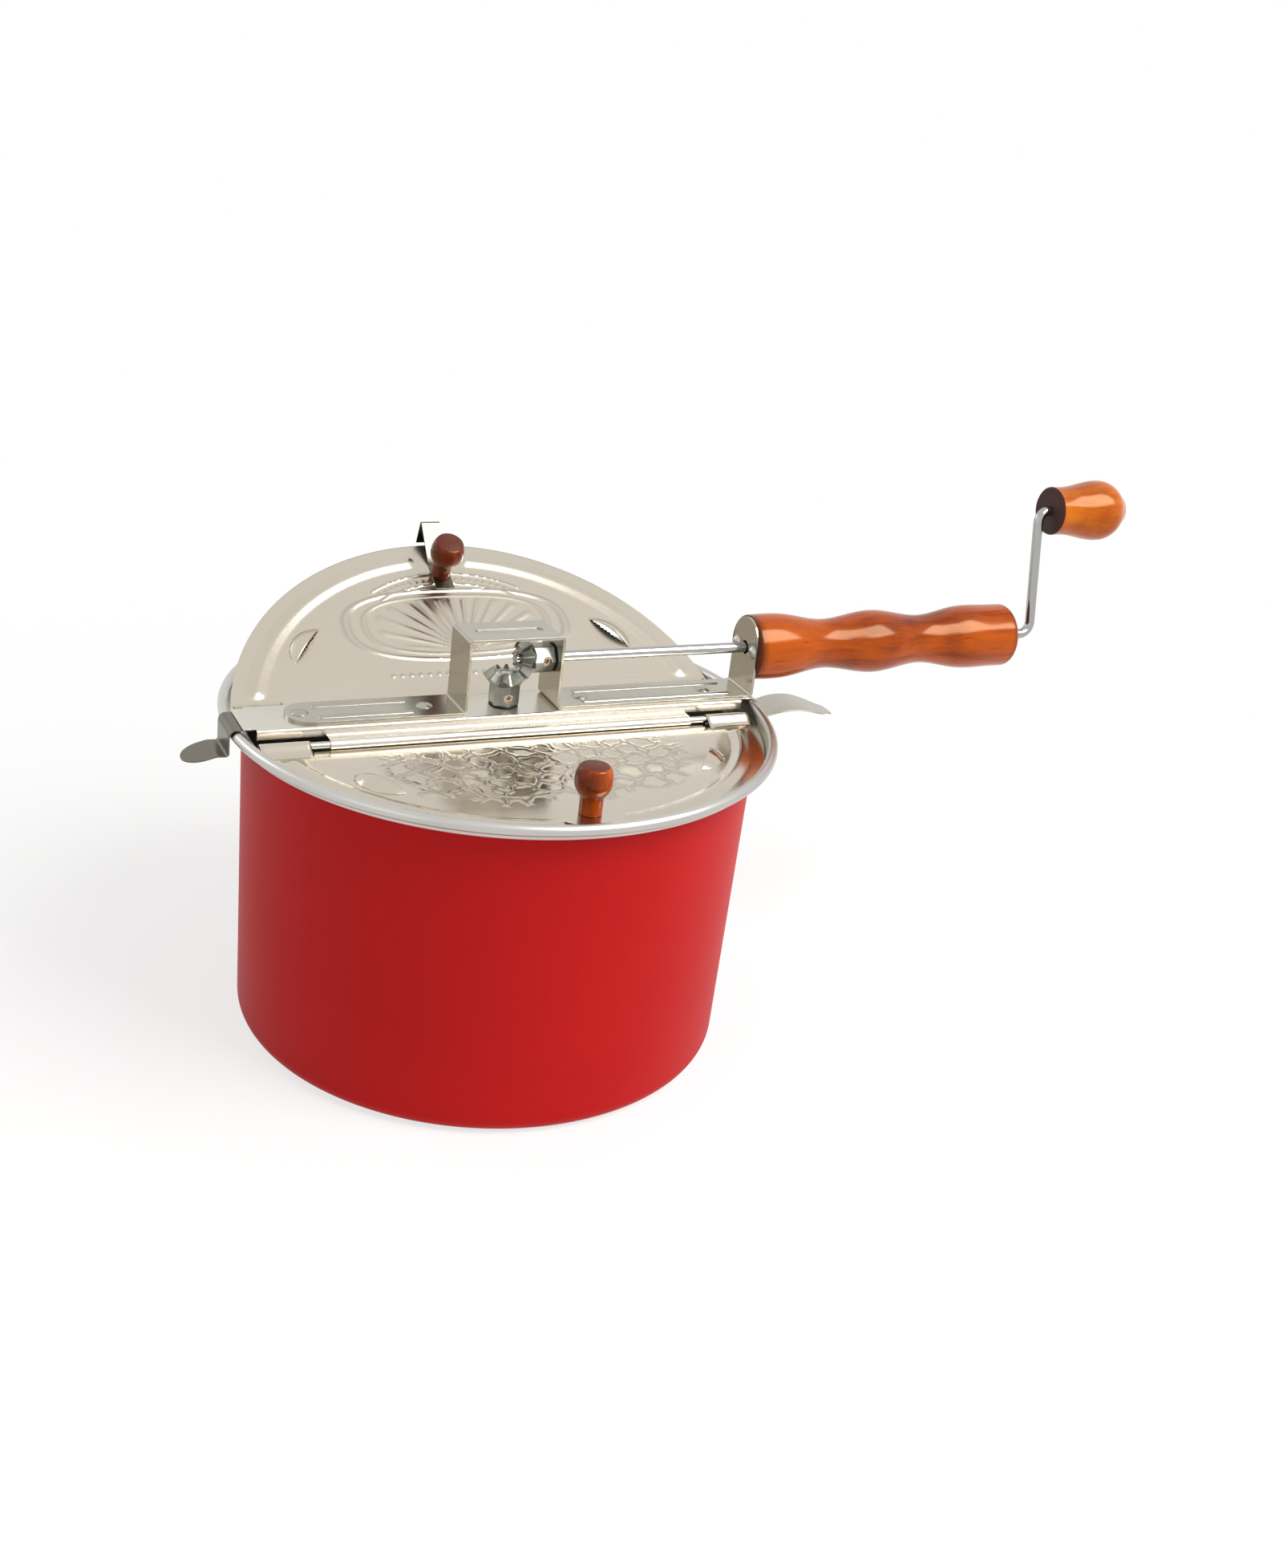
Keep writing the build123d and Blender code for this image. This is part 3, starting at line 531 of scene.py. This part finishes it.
# The wall's middle line from the base's centre to the end of the rolled rim, given
# thickness on both sides and turned about Z.
def makePot():
    half = pot["wall"] / 2
    neck = pot["topRadius"] + pot["ledgeWidth"]
    beadHeight = pot["ledge"] + pot["beadRise"]
    ledge = pot["ledge"] - half
    corners = [(0, half), (pot["baseRadius"] - half, half), (pot["topRadius"] - half, ledge),
               (neck + half, ledge), (neck + half, beadHeight)]
    radii = [pot["corner"], pot["ledgeCorner"], pot["ledgeCorner"]]
    wall = roundedPath(corners, radii, pot["cornerSteps"])
    rim = arcPoints((neck + pot["beadRadius"], beadHeight), pot["beadRadius"] - half,
                    180, 180 - pot["beadWrap"], pot["beadSteps"])
    middle = np.concatenate([wall[:-1], rim])
    outside = offsetPath(middle, -half)
    inside = offsetPath(middle, half)
    outside[0, 0] = 0
    inside[0, 0] = 0
    profile = np.concatenate([outside, inside[::-1]])
    outer = np.arange(len(profile)) < len(wall) - 2
    painted = outer & (profile[:, 1] < pot["ledge"] - pot["bareBelowLedge"])
    bands = np.where(painted, 0, 1)
    mesh = lathe("potShell", profile[:, ::-1], (0, 0, 0), (0, 0, 1), (1, 0, 0),
                 pot["segments"], bands=bands)
    piece = finishMesh("potShell", [mesh])
    place(piece, "pot_shell", "pot", metals["powder"], metals["spun"])


makePot()
print("pot made")


lid = {
    "sheet": 0.6 * mm, "radius": 116.4 * mm, "edge": 20.35 * mm,
    "knuckles": (91.5 * mm, 112.5 * mm), "bore": 1.65 * mm, "curl": 245.0, "curlSteps": 30,
    "tabRise": 5.25 * mm, "tabMeet": 58.0, "tabPull": (1.1, 0.8), "tabPoints": 13,
    "ribRadius": 106.0 * mm, "ribHalfWidth": 4.7 * mm, "ribHeight": 1.3 * mm,
    "ribSpan": (17.0, 82.0),
    "ventRadius": 92.5 * mm, "ventAzimuth": 37.5, "ventHalf": 12.5 * mm,
    "ventDepth": 7.0 * mm, "ventHeight": 3.8 * mm, "ventLap": (0.8 * mm, 0.4 * mm),
    "ventPoints": (37, 15), "hole": (0.0, 97.5 * mm, 1.8 * mm),
    "patternEnd": 58 * mm, "xSteps": (5, 14, 27, 214, 27, 14, 5), "ySteps": 150,
    "slopeStep": 0.3 * mm, "steepest": 0.75, "sharpAngle": 50,
}
medallion = {
    "centre": 66.0 * mm, "halfWidth": 53.0 * mm, "halfHeight": 21.0 * mm, "power": 2.6,
    "lift": 0.58 * mm, "line": 1.2 * mm,
    "innerSize": 0.84, "innerHeight": 0.6, "innerLine": 0.7,
    "rays": 15, "rayFoot": 50.0 * mm, "rayHeight": 0.6, "rayHalfWidth": 0.30,
    "fanReach": 0.76, "fanFade": 0.07, "fanStart": (7 * mm, 9 * mm), "footFade": 3 * mm,
    "hubRadius": 4.5 * mm, "hubLine": 1.3 * mm, "hubFade": 1 * mm,
    "bandCentre": 30.0 * mm, "bandRadius": 64.5 * mm, "bandSpan": 33.0, "bandFade": 1.2,
    "bandHalfGap": 3.2 * mm, "bandHeight": 0.8, "bandLine": 0.8,
    "bandBeadTurn": 3.0, "bandBeadRadius": 1.3 * mm, "bandBeadHeight": 0.7,
    "beads": 19, "beadLevel": 36.5 * mm, "beadPitch": 4.3 * mm, "beadRadius": 1.5 * mm,
    "beadHeight": 0.8,
}
pebbles = {
    "pitch": 12.0 * mm, "rowPitch": 0.82, "rowShift": 0.5, "scatter": 0.30, "seed": 11,
    "offset": 0.17, "line": 0.14, "lift": 0.32 * mm,
    "waver": 0.55 * mm, "waverX": (1.15 * mm, 1.7, 3.1 * mm), "waverY": (1.05 * mm, 1.3, 2.7 * mm),
    "halfWidth": 70.0 * mm, "low": 28.0 * mm, "high": 88.0 * mm, "fade": 3 * mm, "lowFade": 2 * mm,
    "topBow": (0.86, 2.2 * mm, 6 * mm), "knobClear": (13 * mm, 17 * mm),
    "ventClear": (-9 * mm, -4 * mm), "ventClearHalf": 18 * mm,
}
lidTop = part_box("front_lid")[0].z + lid["sheet"]


# Four ribs follow the rim: height falls with the distance from an arc of constant
# radius, and past its ends from the end point.
def ribHeight(x, y):
    radius = np.hypot(x, y)
    azimuth = np.degrees(np.arctan2(y, np.abs(x)))
    nearest = np.radians(np.clip(azimuth, *lid["ribSpan"]))
    away = np.hypot(np.abs(x) - lid["ribRadius"] * np.cos(nearest),
                    y - lid["ribRadius"] * np.sin(nearest))
    inSpan = (azimuth > lid["ribSpan"][0]) & (azimuth < lid["ribSpan"][1])
    away = np.where(inSpan, np.abs(radius - lid["ribRadius"]), away)
    return lid["ribHeight"] * ridge(away, lid["ribHalfWidth"])


# Distances from a vent's chord: outwards from the middle of the lid and along it.
def ventPlace(x, y):
    angle = math.radians(lid["ventAzimuth"])
    outward = np.abs(x) * math.cos(angle) + y * math.sin(angle) - lid["ventRadius"]
    along = -np.abs(x) * math.sin(angle) + y * math.cos(angle)
    return outward, along


# Rear lid's pattern: an oval double frame with a fan of rays, a bead band above it
# and a row of beads below it.
def medallionHeight(x, y):
    m = medallion
    line = m["line"]
    up = y - m["centre"]
    reach = ((np.abs(x) / m["halfWidth"]) ** m["power"]
             + (np.abs(up) / m["halfHeight"]) ** m["power"]) ** (1 / m["power"])
    frameOut = (reach - 1) * m["halfHeight"]
    frameIn = (reach - m["innerSize"]) * m["halfHeight"]
    height = ridge(frameOut, line)
    height = np.maximum(height, m["innerHeight"] * ridge(frameIn, m["innerLine"] * line))
    overFoot = y - m["rayFoot"]
    foot = np.arctan2(x, overFoot)
    far = np.hypot(x, overFoot)
    fan = ridge((foot * m["rays"] / math.pi + 0.5) % 1 - 0.5, m["rayHalfWidth"])
    inFan = (ramp(m["fanReach"] - reach, 0, m["fanFade"]) * ramp(far, *m["fanStart"])
             * ramp(overFoot, 0, m["footFade"]))
    height = np.maximum(height, m["rayHeight"] * fan * inFan)
    hub = ridge(far - m["hubRadius"], m["hubLine"])
    height = np.maximum(height, hub * ramp(overFoot + m["hubFade"], 0, m["hubFade"]))
    bandFar = np.hypot(x, y - m["bandCentre"]) - m["bandRadius"]
    bandTurn = np.degrees(np.arctan2(x, y - m["bandCentre"]))
    inBand = ramp(m["bandSpan"] - np.abs(bandTurn), 0, m["bandFade"])
    for shift in (-m["bandHalfGap"], m["bandHalfGap"]):
        edge = ridge(bandFar - shift, m["bandLine"] * line)
        height = np.maximum(height, m["bandHeight"] * inBand * edge)
    spot = (bandTurn / m["bandBeadTurn"] + 0.5) % 1 - 0.5
    beadFar = np.hypot(spot * math.radians(m["bandBeadTurn"]) * m["bandRadius"], bandFar)
    bead = ridge(beadFar, m["bandBeadRadius"])
    height = np.maximum(height, m["bandBeadHeight"] * inBand * bead)
    row = (x / m["beadPitch"] + 0.5) % 1 - 0.5
    inRow = np.abs(x) < m["beads"] * m["beadPitch"] / 2
    low = np.hypot(row * m["beadPitch"], y - m["beadLevel"])
    beadRow = m["beadHeight"] * inRow * ridge(low, m["beadRadius"])
    return m["lift"] * np.maximum(height, beadRow)


# A wave along one direction that sways with a slower wave across it.
def waver(along, across, shape):
    wave, sway, swayWave = shape
    return np.sin(along / wave + sway * np.sin(across / swayWave))


# Front lid's pattern: raised outlines of uneven pebbles. A point's height comes from
# how nearly its two closest seeds are equally far away.
def pebbleHeight(x, y):
    p = pebbles
    rng = np.random.default_rng(p["seed"])
    around = 2 * p["pitch"]
    across = np.arange(-p["halfWidth"] - around, p["halfWidth"] + around, p["pitch"])
    down = np.arange(p["low"] - around, p["high"] + around, p["rowPitch"] * p["pitch"])
    seedX, seedY = np.meshgrid(across, down)
    seedX = seedX + p["rowShift"] * p["pitch"] * (np.arange(len(down))[:, None] % 2)
    seeds = np.stack([seedX.ravel(), seedY.ravel()], -1)
    seeds = seeds + rng.uniform(-p["scatter"], p["scatter"], seeds.shape) * p["pitch"]
    placeX = (x + p["waver"] * waver(y, x, p["waverX"])).ravel()
    placeY = (y + p["waver"] * waver(x, y, p["waverY"])).ravel()
    far = np.hypot(placeX[:, None] - seeds[:, 0], placeY[:, None] - seeds[:, 1])
    near = np.partition(far, 1, axis=1)[:, :2]
    gap = (near[:, 1] - near[:, 0]).reshape(x.shape) / p["pitch"]
    height = p["lift"] * ridge(gap - p["offset"], p["line"])
    squeeze, sway, swayWave = p["topBow"]
    bow = np.hypot(x * squeeze, y) + sway * np.sin(x / swayWave)
    zone = ramp(p["halfWidth"] - np.abs(x), 0, p["fade"])
    zone = zone * ramp(y, p["low"], p["low"] + p["lowFade"])
    zone = zone * ramp(p["high"] - bow, 0, p["fade"])
    knobFar = np.hypot(x - lid["hole"][0], y - lid["hole"][1])
    outward, along = ventPlace(x, y)
    nearVent = (ramp(outward, *p["ventClear"])
                * ramp(p["ventClearHalf"] - np.abs(along), 0, p["fade"]))
    return height * (zone * ramp(knobFar, *p["knobClear"]) * (1 - nearVent))


# Half a disc as a grid: straight lines across it from the inner edge to the rim, with
# the ribs and the pattern as its height. Faces under the vents and the screw are left out.
def lidSheet(name, pattern):
    low, high = lid["knuckles"]
    rim = math.sqrt(lid["radius"] ** 2 - lid["edge"] ** 2)
    breaks = (-rim, -high, -low, -lid["patternEnd"], lid["patternEnd"], low, high, rim)
    pieces = [np.linspace(a, b, n, endpoint=False)
              for a, b, n in zip(breaks[:-1], breaks[1:], lid["xSteps"])]
    xLine = np.append(np.concatenate(pieces), rim)
    t = np.linspace(0, 1, lid["ySteps"])
    x = np.broadcast_to(xLine[None, :], (len(t), len(xLine)))
    far = np.sqrt(np.maximum(lid["radius"] ** 2 - xLine**2, lid["edge"] ** 2))
    inTab = (np.abs(xLine) > low - 1e-6) & (np.abs(xLine) < high + 1e-6)
    start = np.where(inTab, lid["edge"] + lid["tabRise"], lid["edge"])
    y = start + t[:, None] * (np.maximum(far, start) - start)
    z = lidTop + ribHeight(x, y) + pattern(x, y)
    middleX = (x[:-1, :-1] + x[1:, 1:]) / 2
    middleY = (y[:-1, :-1] + y[1:, 1:]) / 2
    outward, along = ventPlace(middleX, middleY)
    sideLap, lap = lid["ventLap"]
    chord = lid["ventHalf"] - sideLap
    bow = (chord**2 - lid["ventDepth"] ** 2) / (2 * lid["ventDepth"])
    inCircle = np.hypot(outward + bow, along) < math.hypot(chord, bow) - lap
    underHood = (outward > lap) & inCircle
    screw = np.hypot(middleX - lid["hole"][0], middleY - lid["hole"][1]) < lid["hole"][2]
    sheet = gridMesh(name, np.stack([x, y, z], -1), keep=~(underHood | screw))
    meshes = [sheet]
    for side in (-1, 1):
        across = xLine[(xLine * side > low - 1e-9) & (xLine * side < high + 1e-9)]
        meshes.append(lidKnuckle(name, across))
        meshes.append(lidHood(name, side))
    return meshes


# The tab's top face: an S curve from the sheet up to a ring round the pin, then along
# the ring over the pin, down its far side and under it.
def lidKnuckle(name, across):
    pinY = joints["rear_lid_hinge"]["pos_m"][1]
    pinZ = lidTop + lid["bore"]
    ring = lid["bore"] + lid["sheet"]
    curlEnd = lid["tabMeet"] + lid["curl"]
    curl = arcPoints((pinY, pinZ), ring, lid["tabMeet"], curlEnd, lid["curlSteps"])
    start = np.array([lid["edge"] + lid["tabRise"], lidTop])
    meet = math.radians(lid["tabMeet"])
    length = start[0] - curl[0, 0]
    leave, arrive = lid["tabPull"]
    t = np.linspace(0, 1, lid["tabPoints"])[:, None]
    rise = hermite(start, curl[0], np.array([-leave * length, 0]),
                   arrive * length * np.array([-math.sin(meet), math.cos(meet)]), t)
    line = np.concatenate([rise[:-1], curl])
    shape = (len(line), len(across))
    points = np.stack([np.broadcast_to(across, shape), np.broadcast_to(line[:, :1], shape),
                       np.broadcast_to(line[:, 1:], shape)], -1)
    return gridMesh(name, points[::-1])


# A vent's hood: part of a sphere over a chord, open on the side of the lid's middle.
def lidHood(name, side):
    c, s, h = lid["ventHalf"], lid["ventDepth"], lid["ventHeight"]
    behind = (c**2 - s**2) / (2 * s)
    below = (c**2 - h**2) / (2 * h)
    ball = math.sqrt(c**2 + behind**2 + below**2)
    acrossPoints, outPoints = lid["ventPoints"]
    t = np.linspace(-1, 1, acrossPoints)
    v = np.linspace(0, 1, outPoints)
    along = np.sin(t * math.pi / 2) * c
    deepest = np.sqrt(ball**2 - below**2 - along**2) - behind
    outward = v[:, None] * deepest[None, :]
    along = np.broadcast_to(along, outward.shape)
    height = np.maximum(ball**2 - (outward + behind) ** 2 - along**2, below**2)
    rise = np.sqrt(height) - below
    angle = math.radians(lid["ventAzimuth"])
    radial = lid["ventRadius"] + outward
    x = radial * math.cos(angle) - along * math.sin(angle)
    y = radial * math.sin(angle) + along * math.cos(angle)
    points = np.stack([side * x, y, lidTop + rise], -1)
    return gridMesh(name, points if side < 0 else points[:, ::-1])


# Writes how steep the raised pattern is at each point: the length of the height's
# gradient, from differences over a short step. The lid materials darken the flanks by it, as
# painted shade.
def markPaintedFlankShade(mesh, x, y, pattern):
    step = lid["slopeStep"]
    across = pattern(x + step, y) - pattern(x - step, y)
    along = pattern(x, y + step) - pattern(x, y - step)
    slope = np.hypot(across, along) / (2 * step) / lid["steepest"]
    mark = mesh.attributes.new("paintedFlankShade", "FLOAT", "POINT")
    mark.data.foreach_set("value", np.clip(slope, 0, 1))


# Finishes a lid: it is made shut and on the rear side, then turned to its place, which
# goes into the mesh. Its thickness goes downwards.
def makeLid(name, node, body, pattern, front):
    piece = finishMesh(name, lidSheet(name, pattern), lid["sharpAngle"], closed=False)
    mesh = piece.data
    points = np.empty(len(mesh.vertices) * 3)
    mesh.vertices.foreach_get("co", points)
    points = points.reshape(-1, 3)
    markPaintedFlankShade(mesh, points[:, 0], points[:, 1], pattern)
    if front:
        points[:, :2] *= -1
    else:
        hinge = joints["rear_lid_hinge"]
        points = turnAboutX(points, hinge["pos_m"], -hinge["range_deg"][0])
    mesh.vertices.foreach_set("co", points.ravel())
    mesh.update()
    thickness = piece.modifiers.new("sheet", "SOLIDIFY")
    thickness.thickness = lid["sheet"]
    thickness.offset = -1
    place(piece, node, body, metals[name])


makeLid("frontLid", "front_lid", "front_lid", pebbleHeight, True)
makeLid("rearLid", "rear_lid", "rear_lid", medallionHeight, False)
print("lids made")


knob = {
    "height": 20.5 * mm, "foot": 4.75 * mm, "neck": 7.6 * mm, "ball": 7.75 * mm,
    "widest": 14.2 * mm, "top": 6.2 * mm, "boreDepth": 13.0 * mm, "clipSheet": 0.5 * mm,
    "neckSlope": (0.9, 1.0), "crownSlope": (1.6, -1.0), "crownPull": 0.55,
    "footEdge": 0.3 * mm, "crownEdge": 0.35 * mm, "flankPoints": 15, "segments": 96,
}


# Outline from the screw bore over the foot, neck and ball to the flat top. The ball is
# two cubic flanks that leave the neck at a slope and stand upright at the widest place.
def knobProfile():
    k = knob
    bore = lid["hole"][2]
    t = np.linspace(0, 1, k["flankPoints"])[:, None]
    neck = np.array([k["neck"], k["foot"]])
    wide = np.array([k["widest"], k["ball"]])
    top = np.array([k["height"], k["top"]])
    rise = wide - neck
    fall = top - wide
    lower = hermite(neck, wide, np.array(k["neckSlope"]) * rise[0], np.array([rise[0], 0]), t)
    upper = hermite(wide, top, np.array([fall[0], 0]),
                    np.array(k["crownSlope"]) * k["crownPull"] * fall[0], t)[:-1]
    foot = [(k["boreDepth"], 0), (k["boreDepth"], bore), (0, bore),
            (0, k["foot"] - k["footEdge"]), (k["footEdge"], k["foot"])]
    crown = [(k["height"], k["top"] - k["crownEdge"]), (k["height"], 0)]
    profile = np.concatenate([foot, lower, upper[1:], crown])
    return profile, len(profile) - len(crown)


# Turns the outline about an upright line over the lid's hole, tilted with an open lid.
def makeKnob(name, node, body, base, opening, side):
    profile, topRow = knobProfile()
    bands = np.where(np.arange(len(profile)) >= topRow, 1, 0)
    up = np.array([0, 0, 1.0])
    origin = np.array([0, side * lid["hole"][1], base])
    across = np.array([1.0, 0, 0])
    if opening:
        origin = turnAboutX(origin, joints["rear_lid_hinge"]["pos_m"], opening)
        up = turnAboutX(up, (0, 0, 0), opening)
    mesh = lathe(name, profile, origin, up, across, knob["segments"], bands=bands)
    place(finishMesh(name, [mesh]), node, body, woods[name], woods["knobTop"])


rearOpening = -joints["rear_lid_hinge"]["range_deg"][0]
makeKnob("frontKnob", "front_knob", "front_lid", lidTop, 0, -1)
makeKnob("rearKnob", "rear_knob", "rear_lid", lidTop + knob["clipSheet"], rearOpening, 1)
print("lid knobs made")


grip = {
    "stations": (0, 19.6, 39.3, 67.3, 94.4, 116, 131, 144),
    "radii": (14.8, 14.6, 11.5, 14.8, 11.5, 15.0, 15.2, 15.1),
    "leftRound": 0.8 * mm, "leftArc": (180, 100, 4),
    "rightRound": 2.5 * mm, "rightArc": (80, 0, 8),
    "mouth": 3.18 * mm, "mouthDepth": 8.0 * mm, "bore": 2.43 * mm,
    "flankPoints": 110, "segments": 128,
}


# A wavy flank with rounded ends, bored through for the crank rod.
def makeGrip():
    low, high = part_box("handle_grip")
    length = high.x - low.x
    leftRound, rightRound = grip["leftRound"], grip["rightRound"]
    along = np.linspace(leftRound, length - rightRound, grip["flankPoints"])
    radius = smoothCurve(np.array(grip["stations"]) * mm, np.array(grip["radii"]) * mm, along)
    flank = np.stack([along, radius], -1)
    left = arcPoints((leftRound, radius[0] - leftRound), leftRound, *grip["leftArc"])
    right = arcPoints((along[-1], radius[-1] - rightRound), rightRound, *grip["rightArc"])
    depth, mouth, bore = grip["mouthDepth"], grip["mouth"], grip["bore"]
    loop = np.concatenate([[(depth, bore), (depth, mouth), (0, mouth)], left, flank, right,
                           [(length, bore)]])
    bands = np.zeros(len(loop), int)
    bands[:3] = 1  # the mouth
    bands[-2:] = 1  # the bore
    mesh = lathe("handleGrip", loop, (low.x, 0, (low.z + high.z) / 2), (1, 0, 0), (0, 1, 0),
                 grip["segments"], wrapRows=True, bands=bands)
    piece = finishMesh("handleGrip", [mesh])
    place(piece, "handle_grip", "lid_frame", woods["grip"], woods["gripEnd"])


makeGrip()
print("grip made")


crank = {
    "rod": 2.38 * mm, "bend": 6.0 * mm, "arm": 60.5 * mm, "tilt": 10.8, "handleGap": 16.7 * mm,
    "bendSteps": 14, "guide": (0, 1, -0.19), "sides": 40, "pinGap": 1 * mm,
    "knobGap": 6.5 * mm, "knobLength": 42.8 * mm, "knobBore": 29.0 * mm,
    "knobMouth": 2.43 * mm, "knobEdge": 0.6 * mm,
    "stations": (0, 8.4, 17.8, 26.2, 34.6, 40.6), "radii": (11.7, 11.8, 13.4, 14.7, 13.0, 8.0),
    "flankPoints": 60, "domePoints": 14, "segments": 128,
}
rodHeight = joints["crank_turn"]["pos_m"][2]
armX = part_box("handle_grip")[1].x + crank["handleGap"]
pinY = crank["arm"] * math.sin(math.radians(crank["tilt"]))
pinZ = rodHeight + crank["arm"] * math.cos(math.radians(crank["tilt"]))
crankKnobX = armX + crank["knobGap"]


# One bent rod: along the handle, up the arm and out along the pin.
def makeCrankRod():
    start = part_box("crank_rod")[0].x
    end = crankKnobX + crank["knobBore"] - crank["pinGap"]
    corners = [(start, 0, rodHeight), (armX, 0, rodHeight), (armX, pinY, pinZ), (end, pinY, pinZ)]
    path = roundedPath(corners, [crank["bend"]] * 2, crank["bendSteps"])
    mesh = tube("crankRod", path, crank["rod"], crank["guide"], crank["sides"])
    place(finishMesh("crankRod", [mesh]), "crank_rod", "crank", metals["rod"])


# A turned knob: flank through measured radii, closed by a quarter of an oval.
def makeCrankKnob():
    stations = np.array(crank["stations"]) * mm
    radii = np.array(crank["radii"]) * mm
    along = np.linspace(crank["knobEdge"], stations[-1], crank["flankPoints"])
    radius = smoothCurve(stations, radii, along)
    t = np.linspace(0, math.pi / 2, crank["domePoints"])[1:]
    reach = crank["knobLength"] - stations[-1]
    dome = np.stack([stations[-1] + reach * np.sin(t), radii[-1] * np.cos(t)], -1)
    mouth, depth = crank["knobMouth"], crank["knobBore"]
    face = [(depth, 0), (depth, mouth), (0, mouth), (0, radii[0] - crank["knobEdge"])]
    profile = np.concatenate([face, np.stack([along, radius], -1), dome])
    bands = np.where(np.arange(len(profile)) < len(face), 1, 0)
    mesh = lathe("crankKnob", profile, (crankKnobX, pinY, pinZ), (1, 0, 0), (0, 1, 0),
                 crank["segments"], bands=bands)
    piece = finishMesh("crankKnob", [mesh])
    place(piece, "crank_knob", "crank_knob", woods["crankKnob"], woods["crankKnobEnd"])


makeCrankRod()
makeCrankKnob()
print("crank made")


# Construction nodes that keep their shape, and the metal that each one gets.
nodeFinish = {
    "crosspiece": "bar", "front_hinge_pin": "fastener", "rear_hinge_pin": "fastener",
    "front_knob_screw": "fastener", "rear_knob_screw": "fastener", "rear_lid_clip": "spring",
    "left_clip_strap": "spring", "right_clip_strap": "spring",
    # The right clip hook gets the lighter copy of the spring steel as a painted highlight; the
    # left one keeps the dark steel.
    "left_clip_hook": "spring", "right_clip_hook": "litSpringCopy",
    "gear_bracket": "bracket", "bracket_rivets": "bracket", "handle_screws": "fastener",
    "drive_gear": "gear", "driven_gear": "gear",
    "drive_set_screw": "copper", "driven_set_screw": "copper",
    "crank_washer": "washer", "stirrer_washer": "washer", "stirrer_retaining_clip": "spring",
    "stirrer_shaft": "rod", "stirrer_wire": "rod",
}
for node, metal in nodeFinish.items():
    mesh = nodes[node].data
    mesh.materials.clear()
    mesh.materials.append(metals[metal])
print("construction nodes finished:", len(nodeFinish))


studio = {
    "floor": (0.90, 0.895, 0.885), "floorHalf": 6.0, "shadowKept": 0.72,
    "whiteFrom": 0.20, "whiteTo": 0.60, "ambient": 0.46, "ambientColour": (1, 0.985, 0.96, 1),
    "aim": (0.05, 0, 0.1),
}
lamps = {
    "key": {"at": (0.86, -0.95, 1.50), "size": 1.10, "power": 40.0},
    "fill": {"at": (-1.5, -0.7, 0.9), "size": 1.2, "power": 1.5},
    "back": {"at": (-1.30, 1.45, 1.10), "size": 0.9, "power": 4.5},
}
camera = {
    "azimuth": -23.05, "elevation": 26.04, "roll": 7.22, "distance": 0.82883, "pivot": 0.080,
    "aimAcross": 0.06477, "aimHeight": 0.11773, "focal": 2272.66, "longSide": 1955.0,
    "sensor": 36.0, "near": 0.01, "far": 50.0,
}


# White where the camera, a mirror or glass sees it, and a softer level for everything else.
def makeWorld():
    world = bpy.data.worlds.new("studio")
    bpy.context.scene.world = world
    world.use_nodes = True
    paint = Paint(world)
    soft = paint.node("ShaderNodeBackground", inputs=[studio["ambientColour"], studio["ambient"]])
    white = paint.node("ShaderNodeBackground", inputs=[(1, 1, 1, 1), 1.0])
    mixed = paint.node("ShaderNodeMixShader", inputs=[paint.seen(), soft, white])
    paint.tree.links.new(mixed.socket, paint.tree.nodes["World Output"].inputs[0])


# A pale floor that turns plain white away from the object and keeps the shadow under it.
def makeFloor():
    half = studio["floorHalf"]
    corners = np.array([[(-half, -half, 0), (half, -half, 0)],
                        [(-half, half, 0), (half, half, 0)]], float)
    floor = bpy.data.objects.new("floor", gridMesh("floor", corners))
    bpy.context.scene.collection.objects.link(floor)
    paint = Paint("paleFloor")
    paint.set(base=studio["floor"], roughness=0.8, specular=0.2)
    x, y, z = paint.axes()
    away = paint.between((x * x + y * y) ** 0.5, studio["whiteFrom"], studio["whiteTo"])
    share = studio["shadowKept"] + (1 - studio["shadowKept"]) * away
    plain = Value(paint, paint.shader.outputs[0])
    white = paint.node("ShaderNodeEmission", inputs=[(1, 1, 1, 1), 1.0])
    mixed = paint.node("ShaderNodeMixShader", inputs=[paint.seen() * share, plain, white])
    paint.tree.links.new(mixed.socket, paint.tree.nodes["Material Output"].inputs[0])
    floor.data.materials.append(paint.owner)


# Square lamps, all aimed at one point of the popper.
def makeLamps():
    for name, facts in lamps.items():
        lamp = bpy.data.lights.new(name, "AREA")
        lamp.shape = "SQUARE"
        lamp.size = facts["size"]
        lamp.energy = facts["power"]
        holder = bpy.data.objects.new(name, lamp)
        bpy.context.scene.collection.objects.link(holder)
        holder.location = facts["at"]
        aim = Vector(studio["aim"]) - holder.location
        holder.rotation_euler = aim.to_track_quat("-Z", "Y").to_euler()


# The camera looks from a distance round a pivot above the base, rolled clockwise.
def makeCamera():
    c = camera
    a, e, r = (math.radians(c[k]) for k in ("azimuth", "elevation", "roll"))
    back = np.array([math.sin(a) * math.cos(e), -math.cos(a) * math.cos(e), math.sin(e)])
    spot = np.array([0, 0, c["pivot"]]) + c["distance"] * back
    aim = np.array([math.cos(a) * c["aimAcross"], math.sin(a) * c["aimAcross"], c["aimHeight"]])
    forward = unit(aim - spot)
    right = unit(np.cross(forward, (0, 0, 1)))
    up = np.cross(right, forward)
    rolledRight = right * math.cos(r) + up * math.sin(r)
    rolledUp = up * math.cos(r) - right * math.sin(r)
    data = bpy.data.cameras.new("camera")
    data.sensor_width = c["sensor"]
    data.lens = c["focal"] / c["longSide"] * data.sensor_width
    data.clip_start = c["near"]
    data.clip_end = c["far"]
    holder = bpy.data.objects.new("camera", data)
    bpy.context.scene.collection.objects.link(holder)
    turn = np.eye(4)
    turn[:3, 0] = rolledRight
    turn[:3, 1] = rolledUp
    turn[:3, 2] = -forward
    turn[:3, 3] = spot
    holder.matrix_world = Matrix(turn.tolist())
    bpy.context.scene.camera = holder


makeWorld()
makeFloor()
makeLamps()
makeCamera()
bpy.context.scene.view_settings.view_transform = "Standard"
print("studio made")
